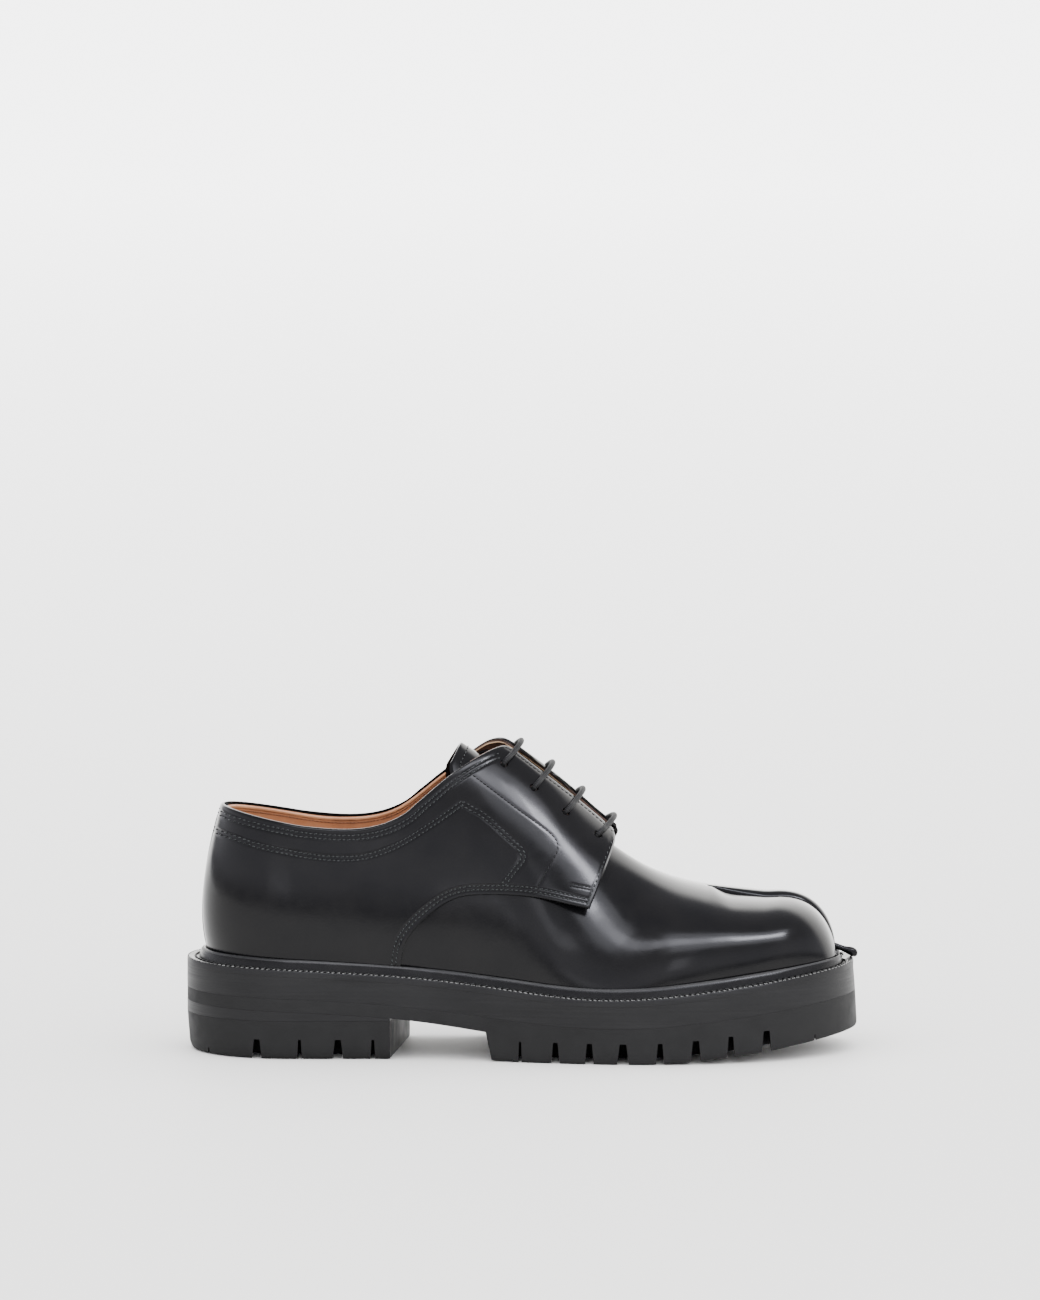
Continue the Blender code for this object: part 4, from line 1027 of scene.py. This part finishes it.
def makeLace():
    s = laceSet
    lines, _ = quarterLines(220)
    top = lines[lines[:, 2] > -10 * mm][:, 2:]
    out = quarterSet["inner"] + quarterSet["thick"] + s["radius"] + s["over"]
    bodies = []
    for x, z in np.array(holeSet["places"]) * mm:
        topX = x + s["lean"]
        topZ = float(np.interp(topX, top[:, 0], top[:, 1]))
        half = {}
        for side in (lateral, medial):
            w = np.array([0.0, 0.0, 0.0, 0.12, 0.4, 0.7, 0.94])
            away = np.array([-2.6 * mm, -0.6 * mm, out * 0.62, out, out, out, out + 0.6 * mm])
            half[side] = quarterAt(x + (topX - x) * w, z + (topZ - z) * w, side, away)[0]
        path = np.concatenate([half[lateral], half[medial][::-1]])
        bodies.append(tube(splinePath(path, 0.7 * mm), s["radius"], 14))
    for side, pair in ((lateral, (3, 2)), (medial, (2, 1)), (lateral, (1, 0))):   # runs under the facings
        a, b = [np.array(holeSet["places"][k]) * mm for k in pair]
        w = np.linspace(0, 1, 7)
        p = quarterAt(a[0] + (b[0] - a[0]) * w, a[1] + (b[1] - a[1]) * w, side, np.full(7, -2.6 * mm))[0]
        bodies.append(tube(splinePath(p, 0.9 * mm), s["radius"] * 0.9, 12))
    points, faces = joined(bodies)
    bars = ["lace_bar_%d" % k for k in (1, 2, 3, 4)]
    place(makeMesh("lace", points, faces, laceCord, sharp=60), "lace", *bars)


makeLace()
print("lace drawn")

# sole
soleSet = {
    "heelX": -105 * mm, "backX": -150 * mm, "toeX": 95 * mm, "tipX": 148.4 * mm, "tipY": 3 * mm, "power": 2.5,
    "flare": 0.085, "flareZ": 28 * mm, "heelCount": 26,
}


def solePoint(x, side, inset, z):
    s = soleSet
    edge = side * (float(soleForm[sideKey[side]](x)) - inset)
    if x < s["heelX"]:
        reach = s["heelX"] - s["backX"]
        q = (s["heelX"] - x) / reach
        edge *= sqrt(max(0.0, 1 - q * q))
        x = s["heelX"] - q * (reach - inset)
    if x > s["toeX"]:
        q = (x - s["toeX"]) / (s["tipX"] - s["toeX"])
        edge = s["tipY"] + (edge - s["tipY"]) * superellipse(min(1.0, q), s["power"])
        x = s["toeX"] + q * (s["tipX"] - s["toeX"] - inset)
    lean = min(1.0, max(0.0, (x - 60 * mm) / (80 * mm)))
    return (x + s["flare"] * lean * (s["flareZ"] - z), edge, z)


def heelStations():   # closer together toward the back
    s, count = soleSet, soleSet["heelCount"]
    return [s["heelX"] - (s["heelX"] - s["backX"]) * cos(pi / 2 * k / count) for k in range(count)]


def soleStations(toe=34, body=2.6 * mm):
    s = soleSet
    front = [s["toeX"] + (s["tipX"] - s["toeX"]) * sin(pi / 2 * k / toe) for k in range(toe + 1)]
    return np.array(heelStations() + list(np.arange(s["heelX"], s["toeX"], body)) + front)


def soleLoft(stations, rings):   # each ring is a height function and an inset, or an inset function
    rings = [(high, inset if callable(inset) else lambda x, inset=inset: inset) for high, inset in rings]
    rows = []
    for x in stations:
        row = [solePoint(x, lateral, float(inset(x)), float(high(x))) for high, inset in rings]
        row += [solePoint(x, medial, float(inset(x)), float(high(x))) for high, inset in rings[::-1]]
        rows.append(row)
    return np.array(rows), loftFaces(len(rows), 2 * len(rings))


midsoleSet = {"bevel": 0.1 * mm, "crown": 0.08 * mm}


def makeMidsole():
    s = midsoleSet
    seat, plate, bev = soleForm["seat"], soleForm["plate"], s["bevel"]
    rings = [(seat, 3 * mm), (seat, bev), (lambda x: seat(x) - bev * 0.35, bev * 0.3)]
    for w in (0.1, 0.3, 0.5, 0.7, 0.9):
        inset = s["crown"] * (1 - sin(pi * w)) * 0.5
        rings.append((lambda x, w=w: seat(x) + (plate(x) - seat(x)) * w, inset))
    rings += [(lambda x: plate(x) + bev * 0.5, bev * 0.4), (plate, bev * 1.2), (plate, 3 * mm)]
    points, faces = soleLoft(soleStations(), rings)
    place(makeMesh("midsole", points, faces, edgeInk, 1e-5, 50), "midsole", "midsole")


makeMidsole()

treadSet = {
    # place and half width, in mm
    "notches": [(-1.3, 1.0), (14.3, 2.2), (29.3, 2.4), (44.1, 3.2), (60.5, 2.2), (76.3, 2.9), (91.8, 2.2),
                (107.7, 2.9)],
    "nicks": [(129.5, 1.0)], "depth": 9.2 * mm, "reach": 19 * mm, "slots": [(22, 2.0), (52, 2.0), (84, 2.0)],
    "channel": 4 * mm, "backX": -16.4 * mm, "round": 0.35 * mm,
}
box = [[0, 1, 2, 3], [7, 6, 5, 4], [0, 4, 5, 1], [1, 5, 6, 2], [2, 6, 7, 3], [3, 7, 4, 0]]


def wedge(x, half, side, high, reach, narrow=0.45):   # notch cutter, narrow at its top
    edge = abs(solePoint(x, side, 0.0, 0.0)[1])
    low, thin = -5 * mm, half * narrow
    points = []
    for y in (side * (edge + 12 * mm), side * (edge - reach)):
        points += [(x - half, y, low), (x + half, y, low), (x + thin, y, high), (x - thin, y, high)]
    return np.array(points), box


def softEdges(obj, width, angle=40):   # smooth faces, rounded cuts
    obj.data.polygons.foreach_set("use_smooth", [True] * len(obj.data.polygons))
    obj.data.set_sharp_from_angle(angle=radians(35))
    bevel = obj.modifiers.new("edges", "BEVEL")
    bevel.width = width
    bevel.segments = 2
    bevel.limit_method = "ANGLE"
    bevel.angle_limit = radians(angle)
    bevel.harden_normals = False
    bevel.use_clamp_overlap = True


def treadFloor(x):
    s = treadSet
    if x <= s["backX"]:
        return float(soleForm["tread"](x))
    if x < -4.5 * mm:
        return 0.6 * mm
    return max(0.0, float(soleForm["floor"](x)))


def makeOutsole():
    s = treadSet
    plate, floor = soleForm["plate"], soleForm["floor"]
    stations = soleStations()
    stations = stations[np.abs(stations + 15.2 * mm) > 1.6 * mm]   # clear of the tread's steps
    stations = np.sort(np.concatenate([stations, np.array([-16.5, -14.0, -4.6, -4.4]) * mm]))
    rings = [(lambda x: plate(x) - 0.02 * mm, 3 * mm), (lambda x: plate(x) - 0.02 * mm, 0.08 * mm)]
    for w in (0.06, 0.35, 0.65, 0.85):
        wall = lambda x, w=w: plate(x) + (treadFloor(x) - plate(x)) * w
        rings.append((wall, lambda x, w=w: 0.05 * mm + 0.45 * mm * w * (x > s["backX"])))
    for high, inset in ((0.9, 0.6), (0.3, 0.85), (0.0, 1.5)):   # rounded only where it treads
        foot = lambda x, high=high: treadFloor(x) + high * mm
        rings.append((foot, lambda x, inset=inset: (inset if x > s["backX"] else 0.06) * mm))
    points, faces = soleLoft(stations, rings)
    obj = makeMesh("outsole", points, faces, soleRubber, 1e-5)
    cuts = []
    for side in (lateral, medial):
        for x, half in np.array(s["notches"]) * mm:
            cuts.append(wedge(x, half, side, float(floor(x)) + s["depth"], s["reach"]))
        for x, half in np.array(s["nicks"]) * mm:
            cuts.append(wedge(x, half, side, float(floor(x)) + 2.6 * mm, 5 * mm, 0.2))
    cutAway(obj, makeMesh("notchCut", *joined(cuts), soleRubber))
    xs = np.array([3, 25, 50, 74, 95, 113]) * mm
    roof = [float(floor(x)) + s["depth"] - 1.5 * mm for x in xs]
    cuts = []
    for side in (lateral, medial):
        rows = []
        for x, z in zip(xs, roof):
            y, h = solePoint(x, side, s["reach"], 0.0)[1], s["channel"] / 2
            rows.append([(x, y - h, -5 * mm), (x, y + h, -5 * mm), (x, y + h, z), (x, y - h, z)])
        ends = [[0, 1, 2, 3], [len(xs) * 4 - 1 - k for k in range(4)]]
        cuts.append((np.array(rows), gridFaces(len(xs), 4, wrap=True) + ends))
    cutAway(obj, makeMesh("channelCut", *joined(cuts), soleRubber))
    cuts = []
    for x, half in np.array(s["slots"]) * mm:
        ends = [solePoint(x, side, s["reach"], 0.0)[1] for side in (lateral, medial)]
        z = float(floor(x)) + s["depth"] - 2.5 * mm
        corners = ((-1, -5 * mm), (1, -5 * mm), (1, z), (-1, z))
        points = [(x + a * half, y, b) for y in ends for a, b in corners]
        cuts.append((np.array(points), box))
    cutAway(obj, makeMesh("slotCut", *joined(cuts), soleRubber))
    softEdges(obj, s["round"])
    place(obj, "rubber", "outsole")


makeOutsole()
print("midsole and tread made")

heelSet = {
    "breast": {lateral: -59 * mm, medial: -51 * mm}, "topZ": 17.1 * mm, "taper": 1.3 * mm, "round": 0.35 * mm,
    "notches": [(-118, 2.7), (-99, 1.3), (-82, 2.9), (-66.5, 1.3)], "nick": (-139.7, 0.8),
}


def heelLoft(rings):
    back, heelX = heelStations(), soleSet["heelX"]
    count = len(back)
    rows = []
    for k in range(count + 20):
        row = []
        for side, order in ((lateral, rings), (medial, rings[::-1])):
            x = back[k] if k < count else heelX + (heelSet["breast"][side] - heelX) * (k - count) / 19
            row += [solePoint(x, side, inset, float(high(x))) for high, inset in order]
        rows.append(row)
    return np.array(rows), loftFaces(len(rows), 2 * len(rings))


def makeHeel():
    s = heelSet
    tread, top, bev = soleForm["tread"], s["topZ"], 0.08 * mm
    rings = [(lambda x: tread(x) - 0.02 * mm, bev * 1.2), (lambda x: tread(x) - bev, 0.0)]
    rings += [(lambda x: top + bev, 0.0), (lambda x: top, bev * 1.2)]
    points, faces = heelLoft(rings)
    lift = makeMesh("heelLift", points, faces, edgeInk, 1e-5, 50)
    place(lift, "midsole", "heel_lift")
    rings = [(lambda x: top - 0.02 * mm, bev * 1.2), (lambda x: top - bev, 0.05 * mm)]
    rings += [(lambda x, w=w: top * (1 - w), s["taper"] * w) for w in (0.2, 0.4, 0.6, 0.8)]
    for high, inset in ((2.2, 0.15), (1.2, 0.45), (0.5, 1.0), (0.12, 1.7), (0.0, 2.4)):   # rounded foot
        rings.append((lambda x, high=high: high * mm, s["taper"] + inset * mm))
    points, faces = heelLoft(rings)
    obj = makeMesh("heelTopPiece", points, faces, soleRubber, 1e-5)
    cuts = []
    for side in (lateral, medial):
        for x, half in s["notches"]:
            cuts.append(wedge(x * mm, half * mm, side, 8.7 * mm, treadSet["reach"]))
        x, half = s["nick"]
        cuts.append(wedge(x * mm, half * mm, side, 3 * mm, 9 * mm, 0.2))
    cutAway(obj, makeMesh("heelCut", *joined(cuts), soleRubber))
    softEdges(obj, s["round"])
    place(obj, "rubber", "heel_top_piece")


makeHeel()
print("heel made")

# storm welt with its stitches
weltSet = {
    "flange": 3.0 * mm, "ridge": 7.2 * mm, "off": 0.4 * mm,
    # out from the upper in mm, share of the ridge's height
    "ridgeProfile": [(0.0, 0.97), (0.3, 1.0), (0.8, 0.99), (1.4, 0.95), (1.9, 0.87), (2.3, 0.73), (2.6, 0.56),
                     (2.9, 0.43), (3.4, 0.385)],
    # in from the outer edge and height, both in mm
    "edgeProfile": [(2.6, 2.9), (1.7, 3.0), (1.1, 3.1), (0.6, 3.02), (0.2, 2.75), (0.0, 2.35), (0.0, 0.0)],
    "pitch": 3.1 * mm, "wheelPitch": 2.4 * mm,
    # rows of that profile: ink, painted highlight along the ridge's top, stitches, wheel marks
    "inkFrom": 14, "highlightRows": (3, 4), "stitchRow": 9, "wheelRow": 13,
}


def frontEdge(y, z):   # point of the sole's toe edge at a given y
    s = soleSet
    low, high = s["toeX"], s["tipX"]
    toward = medial if y > s["tipY"] else lateral
    reach = (y - s["tipY"]) * toward
    for _ in range(40):
        mid = (low + high) / 2
        if (solePoint(mid, toward, 0.0, z)[1] - s["tipY"]) * toward > reach:
            low = mid
        else:
            high = mid
    return solePoint(low, toward, 0.0, z)


def swelling(u, side):   # how far the wall stands out over its foot at the ridge's height
    t = np.linspace(0, 0.4, 81)
    line = lastPoint(u, t, side)
    step = lastPoint(u, np.interp(line[0, 2] + weltSet["ridge"], line[:, 2], t), side) - line[0]
    return float(np.hypot(step[0], step[1]))


def lobeLean(x, side):   # the same for a toe lobe
    path = lobePath(x, side, np.linspace(0, 0.4, 41), np.zeros(0), np.zeros(0))[:41]
    y = np.interp(path[0, 2] + weltSet["ridge"], path[:, 2], path[:, 1])
    return max(0.0, side * (y - path[0, 1]))


def footLoop():
    loop = []
    for side in (lateral, medial):
        here = []
        for u in np.linspace(-1, 0, 44)[:-1]:
            p = lastPoint(u, 0.0, side)
            x = soleSet["heelX"] - (soleSet["heelX"] - soleSet["backX"]) * cos((u + 1) * pi / 2)
            here.append((p[0], p[1], *solePoint(x, side, 0.0, 40 * mm)[:2], 1.0, swelling(u, side)))
        for x in np.linspace(-100, 110, 120) * mm:
            edge = solePoint(max(x, soleSet["heelX"]), side, 0.0, float(soleForm["seat"](x)))
            out = swelling(stationAt(x), side)
            here.append((x, lobePlan(x, side)[0], *edge[:2], 1.0, out))
        first = here[-1][3] / here[-1][1]
        lean = here[-1][5]
        for u in np.linspace(1, 2, 40)[1:]:
            foot = lobePlan(toeX(u, side), side)[0]
            edge = frontEdge(foot * (first + (1.3 - first) * (u - 1)), 36 * mm)
            out = max(1.1 * mm, 1.5 * lobeLean(toeX(u, side), side) + 0.3 * mm)
            here.append((toeX(u, side), foot, *edge[:2], 1.0, lean + (out - lean) * min(1.0, (u - 1) * 5)))
        for u, share in zip(np.linspace(1.97, 1.62, 12), np.linspace(0.95, 0.0, 12)):
            y = lobePlan(toeX(u, side), side)[1]
            edge = frontEdge(y * (1.3 - 0.2 * min(1.0, (2 - u) / 0.1)), 36 * mm)
            here.append((toeX(u, side), y, *edge[:2], share, 0.6 * mm))
        loop += here if side < 0 else here[1:][::-1]
    return np.array(loop)


def softLoop(values, passes):
    for _ in range(passes):
        values = 0.25 * np.roll(values, 1, 0) + 0.5 * values + 0.25 * np.roll(values, -1, 0)
    return values


def outwardOf(loop):
    ahead = np.roll(loop, -1, 0) - np.roll(loop, 1, 0)
    n = np.stack([ahead[:, 1], -ahead[:, 0]], 1)
    area = np.sum(loop[:, 0] * np.roll(loop[:, 1], -1) - np.roll(loop[:, 0], -1) * loop[:, 1])
    return unit(n) * np.sign(area)


def makeWelt():
    s = weltSet
    loop = footLoop()
    foot = softLoop(loop[:, :2], 2)
    edge = softLoop(loop[:, 2:4], 3)
    share, lean = softLoop(loop[:, 4], 3), softLoop(loop[:, 5], 3)
    under = np.clip((-40 * mm - foot[:, 0]) / (12 * mm), 0, 1)
    near = foot + outwardOf(foot) * (s["off"] + under * (quarterSet["inner"] + quarterSet["thick"]))[:, None]
    way = edge - near
    wide = np.linalg.norm(way, axis=1)
    way /= wide[:, None]
    low, lowOut = seatZ(near[:, 0]) - 0.25 * mm, seatZ(edge[:, 0]) - 0.28 * mm
    high = s["flange"] + (s["ridge"] - s["flange"]) * share
    shift = np.minimum(1.0, (wide - 1.0 * mm) / (lean + 6.6 * mm))   # squeezed where the welt is narrow
    rows = [(near, low)]
    flat, least = s["flange"] * 0.93, s["ridgeProfile"][-1][1]
    for d, h in s["ridgeProfile"]:
        at = near + way * ((lean + d * mm) * shift)[:, None]
        up = (high - flat) * (h - least) / (1 - least) if h > 0.45 else 0 * high
        rows.append((at, low + flat + up))
    for d, h in s["edgeProfile"]:
        at = edge - way * (d * mm * np.minimum(1.0, shift))[:, None]
        rows.append((at, lowOut + h * mm))
    grid = np.stack([np.column_stack([p, z]) for p, z in rows], 1)
    count, depth = grid.shape[:2]
    faces = []
    for k in range(count):
        n = (k + 1) % count
        for j in range(depth):
            m = (j + 1) % depth
            faces.append([k * depth + j, n * depth + j, n * depth + m, k * depth + m])
    welt = place(makeMesh("welt", grid, faces, weltLeather, sharp=50), "welt", "welt")
    welt.data.materials.append(edgeInk)   # its outer face is trimmed and inked with the sole's
    welt.data.materials.append(weltPaintedHighlight)   # painted highlight: a lighter line along the ridge's top
    for face in welt.data.polygons:
        row = face.index % depth   # row of the profile, counted from the upper
        face.material_index = 1 if row >= s["inkFrom"] else 2 if row in s["highlightRows"] else 0
    up = np.array((0, 0, 1.0))
    turn = np.roll(grid, 1, 0)   # starts away from the heel's back

    def between(row, pitch):   # places along the welt, between two rows of its grid
        line = 0.5 * (turn[:, row] + turn[:, row + 1])
        return resample(np.concatenate([line, line[:1]]), pitch)[:-1]

    flat = between(s["stitchRow"], s["pitch"])
    lie = np.tile(up, (len(flat), 1))
    ahead = np.gradient(flat, axis=0)
    points, faces = stitchBodies(flat + up * 0.15 * mm, ahead, lie, 2.6 * mm, 0.5 * mm, 0.12)
    place(makeMesh("weltStitches", points, faces, weltThread), "lace")
    # wheel marks, their pale colour a painted highlight
    flat = between(s["wheelRow"], s["wheelPitch"])
    mid = flat[:, :2] * np.array((0.3, 1.0))
    lie = unit(np.column_stack([unit(mid), np.full(len(flat), 0.9)]))
    points, faces = stitchBodies(flat + up * 0.08 * mm, np.gradient(flat, axis=0), lie, 1.9 * mm, 0.28 * mm)
    place(makeMesh("weltWheel", points, faces, wheelMarkPaintedGlint), "lace")


makeWelt()

lipSet = {
    # along the strip: x, z of its top, half width, thickness
    "path": [(131, 46.8, 1.3, 2.5), (135, 46.5, 1.6, 2.8), (139, 46.0, 1.7, 2.9), (142, 45.0, 1.6, 2.8),
             (144.4, 44.2, 1.7, 3.1), (146, 44.0, 2.0, 3.8), (147.4, 43.8, 2.1, 4.2), (148.8, 43.1, 1.8, 3.6),
             (149.6, 42.2, 1.1, 2.0), (149.8, 41.7, 0.4, 0.9)],
    "y": 7 * mm,
}


def makeLip():   # end of the welt strip, out of the cleft and over the sole's edge
    rows = np.array(lipSet["path"]) * mm
    gone = runOf(rows[:, :2])
    at = np.linspace(0, gone[-1], 40)
    x, z, half, thick = [curveThrough(gone, rows[:, k])(at) for k in range(4)]
    angle = np.linspace(0, 2 * pi, 20, endpoint=False)
    squared = np.sign(np.sin(angle)) * np.abs(np.sin(angle)) ** 0.7
    grid = []
    for k in range(40):
        high = z[k] - thick[k] / 2 + thick[k] / 2 * squared
        grid.append(np.stack([np.repeat(x[k], 20), lipSet["y"] + half[k] * np.cos(angle), high], 1))
    grid, faces = np.array(grid), loftFaces(40, 20)
    place(makeMesh("weltLip", grid, faces, weltLeather, sharp=60), "welt", "cleft_welt")


makeLip()
print("welt stitched on")

insoleSet = {"inset": 2.6 * mm, "thick": 2.5 * mm, "tip": 106 * mm, "start": 80 * mm}


def makeInsole():
    s = insoleSet
    heelX, backX = lastSet["heelX"], lastSet["back"][0, 0] + s["inset"]
    sides = (lateral, medial)

    def reach(x, side):
        return float(lastForm[sideKey[side]](x)) - s["inset"]

    rows = []
    for u in np.linspace(-1, 0, 24)[:-1]:
        turn = (u + 1) * pi / 2
        x = heelX + (backX - heelX) * cos(turn)
        rows.append((x, *[side * max(1.5 * mm, reach(heelX, side) * sin(turn)) for side in sides]))
    toe = s["start"] + (s["tip"] - s["start"]) * np.sin(np.linspace(0, pi / 2 - 0.06, 20))
    for x in np.concatenate([np.linspace(-100, 79, 60) * mm, toe]):
        close = superellipse(max(0.0, (x - s["start"]) / (s["tip"] - s["start"])), 2.2)
        rows.append((x, *[3 * mm * (1 - close) + side * reach(x, side) * close for side in sides]))
    way = np.concatenate([[0, 0.01, 0.03], np.linspace(0.08, 0.92, 21), [0.97, 0.99, 1]])
    brim = 1 - 0.5 * np.exp(-np.minimum(way, 1 - way) / 0.012)
    dish = s["thick"] * brim + 0.8 * mm * (2 * way - 1) ** 4
    grids = []
    for high in (dish, 0 * dish):   # its top, then its flat underside
        grid = [np.column_stack([0 * way + x, a + (b - a) * way, float(seatZ(x)) + high]) for x, a, b in rows]
        grids.append(np.array(grid))
    place(sheetMesh("insole", *grids, sockLeather, 50), "insole", "insole")


makeInsole()
print("insole laid")

# studio
studioSet = {
    # floor, paler away from the shoe: a painted light gradient, darker near the shoe
    "floorNear": (0.42, 0.418, 0.412), "floorFar": (0.84, 0.84, 0.838), "fade": (0.0, 7.0),
    # room in front by height, pale wall behind
    "front": [(0.0, 0.5), (0.05, 0.65), (0.12, 2.2), (0.3, 1.9), (0.5, 1.1), (0.8, 0.85)],
    "back": 5.0, "edge": (0.70, 0.88), "toeEnd": 0.6, "wallEnd": (-0.85, -0.4), "seen": 5.0,
    "tint": {"upper": (0.90, 0.91, 1.0), "lower": (0.92, 0.92, 1.0)}, "lowerFrom": 5,
    # softboxes: left and right end, height, power; from the sixth on they stand low in front
    "boxes": [
        ((-0.5, -1.5, 1.7), (0.2, -1.5, 1.76), 0.36, 9.5),
        ((0.2, -1.5, 1.76), (0.65, -1.5, 1.89), 0.36, 6.5),
        ((0.65, -1.5, 1.89), (1.05, -1.5, 2.0), 0.36, 10.0),
        ((1.05, -1.5, 2.0), (1.75, -1.5, 2.2), 0.36, 48),
        ((-0.2, -1.5, 1.65), (1.8, -1.5, 2.2), 1.2, 42),
        ((0.1, -2.6, 0.95), (0.55, -2.55, 0.95), 0.6, 2.4),
        ((-1.5, -2.6, 0.45), (-0.55, -3.0, 0.45), 0.16, 1.15),
    ],
    # wide fills: direction they come from, angle, strength
    "fills": [((0.15, -0.35, 1.0), 130, 17.0)],
}


def makeStudio():
    s = studioSet
    n = 64
    angle = np.arange(n) * 2 * pi / n
    ring = np.stack([60 * np.cos(angle), 60 * np.sin(angle), np.zeros(n)], 1)
    mat, tree, shader, where = nodeKit("studioFloor", s["floorNear"], 0.6)
    shader.inputs["Specular IOR Level"].default_value = 0.1
    parts = tree.nodes.new("ShaderNodeSeparateXYZ")
    tree.links.new(where.outputs["Object"], parts.inputs["Vector"])
    # painted light gradient: the floor's colour runs from dark near the shoe to pale far off
    away = spanned(tree, parts.outputs["Y"], 0, 1, *s["fade"])
    tree.links.new(tinted(tree, away, s["floorNear"], s["floorFar"], 0, 1), shader.inputs["Base Color"])
    paper = noiseAt(tree, where, 260, detail=3)
    tree.links.new(bumped(tree, paper, 0.05, 0.0005), shader.inputs["Normal"])
    floor = makeMesh("studioFloor", ring, [list(range(n))], mat)
    floor.location.z = -0.0002
    floor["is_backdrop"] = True
    world = bpy.data.worlds.new("studioSky")
    bpy.context.scene.world = world
    world.use_nodes = True
    tree = world.node_tree
    sky = tree.nodes["Background"]
    where = tree.nodes.new("ShaderNodeTexCoord")
    parts = tree.nodes.new("ShaderNodeSeparateXYZ")
    tree.links.new(where.outputs["Generated"], parts.inputs["Vector"])
    room = tree.nodes.new("ShaderNodeValToRGB")   # dark room in front
    for _ in s["front"][2:]:
        room.color_ramp.elements.new(0.5)
    for stop, (at, bright) in zip(room.color_ramp.elements, s["front"]):
        stop.position = at
        stop.color = (bright, bright, bright * 1.08, 1)
    tree.links.new(parts.outputs["Z"], room.inputs["Fac"])
    ramp = tree.nodes.new("ShaderNodeMixRGB")   # pale wall behind
    ramp.inputs["Color2"].default_value = (s["back"], s["back"] * 0.99, s["back"] * 0.97, 1)
    tree.links.new(room.outputs["Color"], ramp.inputs["Color1"])
    dirX, dirY = parts.outputs["X"], parts.outputs["Y"]   # the wall reaches further round at the toe's end
    turned = reckon(tree, "MULTIPLY_ADD", reckon(tree, "MAXIMUM", dirX, 0.0), s["toeEnd"], dirY)
    wall = spanned(tree, turned, 0, 1, *s["edge"])
    wide = reckon(tree, "MULTIPLY", wall, spanned(tree, dirX, 0, 1, *s["wallEnd"]))
    tree.links.new(wide, ramp.inputs["Fac"])
    path = tree.nodes.new("ShaderNodeLightPath")
    pick = tree.nodes.new("ShaderNodeMixRGB")
    pick.inputs["Color2"].default_value = (s["seen"], s["seen"], s["seen"], 1)
    tree.links.new(path.outputs["Is Camera Ray"], pick.inputs["Fac"])
    tree.links.new(ramp.outputs["Color"], pick.inputs["Color1"])
    tree.links.new(pick.outputs["Color"], sky.inputs["Color"])
    for k, (left, right, high, power) in enumerate(s["boxes"]):
        light = bpy.data.lights.new("softbox%d" % k, "AREA")
        light.shape = "RECTANGLE"
        along, middle = Vector(right) - Vector(left), (Vector(right) + Vector(left)) / 2
        back = (middle - Vector((0, 0, 0.07))).normalized()
        across = (along - back * along.dot(back)).normalized()
        light.size, light.size_y = along.length, high
        light.energy = power
        light.color = s["tint"]["lower" if k >= s["lowerFrom"] else "upper"]
        obj = bpy.data.objects.new("softbox%d" % k, light)
        bpy.context.collection.objects.link(obj)
        obj.location = middle
        obj.visible_diffuse = False   # only its gleam on the leather
        obj.rotation_euler = Matrix((across, back.cross(across), back)).transposed().to_euler()
    for k, (toward, angle, strength) in enumerate(s["fills"]):
        light = bpy.data.lights.new("fill%d" % k, "SUN")
        light.angle = radians(angle)
        light.energy = strength
        obj = bpy.data.objects.new("fill%d" % k, light)
        bpy.context.collection.objects.link(obj)
        obj.rotation_euler = Vector(toward).to_track_quat("Z", "Y").to_euler()
        obj.visible_glossy = False


makeStudio()
print("studio lit")

low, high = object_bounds()
for label, span in (("size", high - low), ("frame", cadHigh - cadLow)):
    print(label, [round(v * 1000, 1) for v in span])
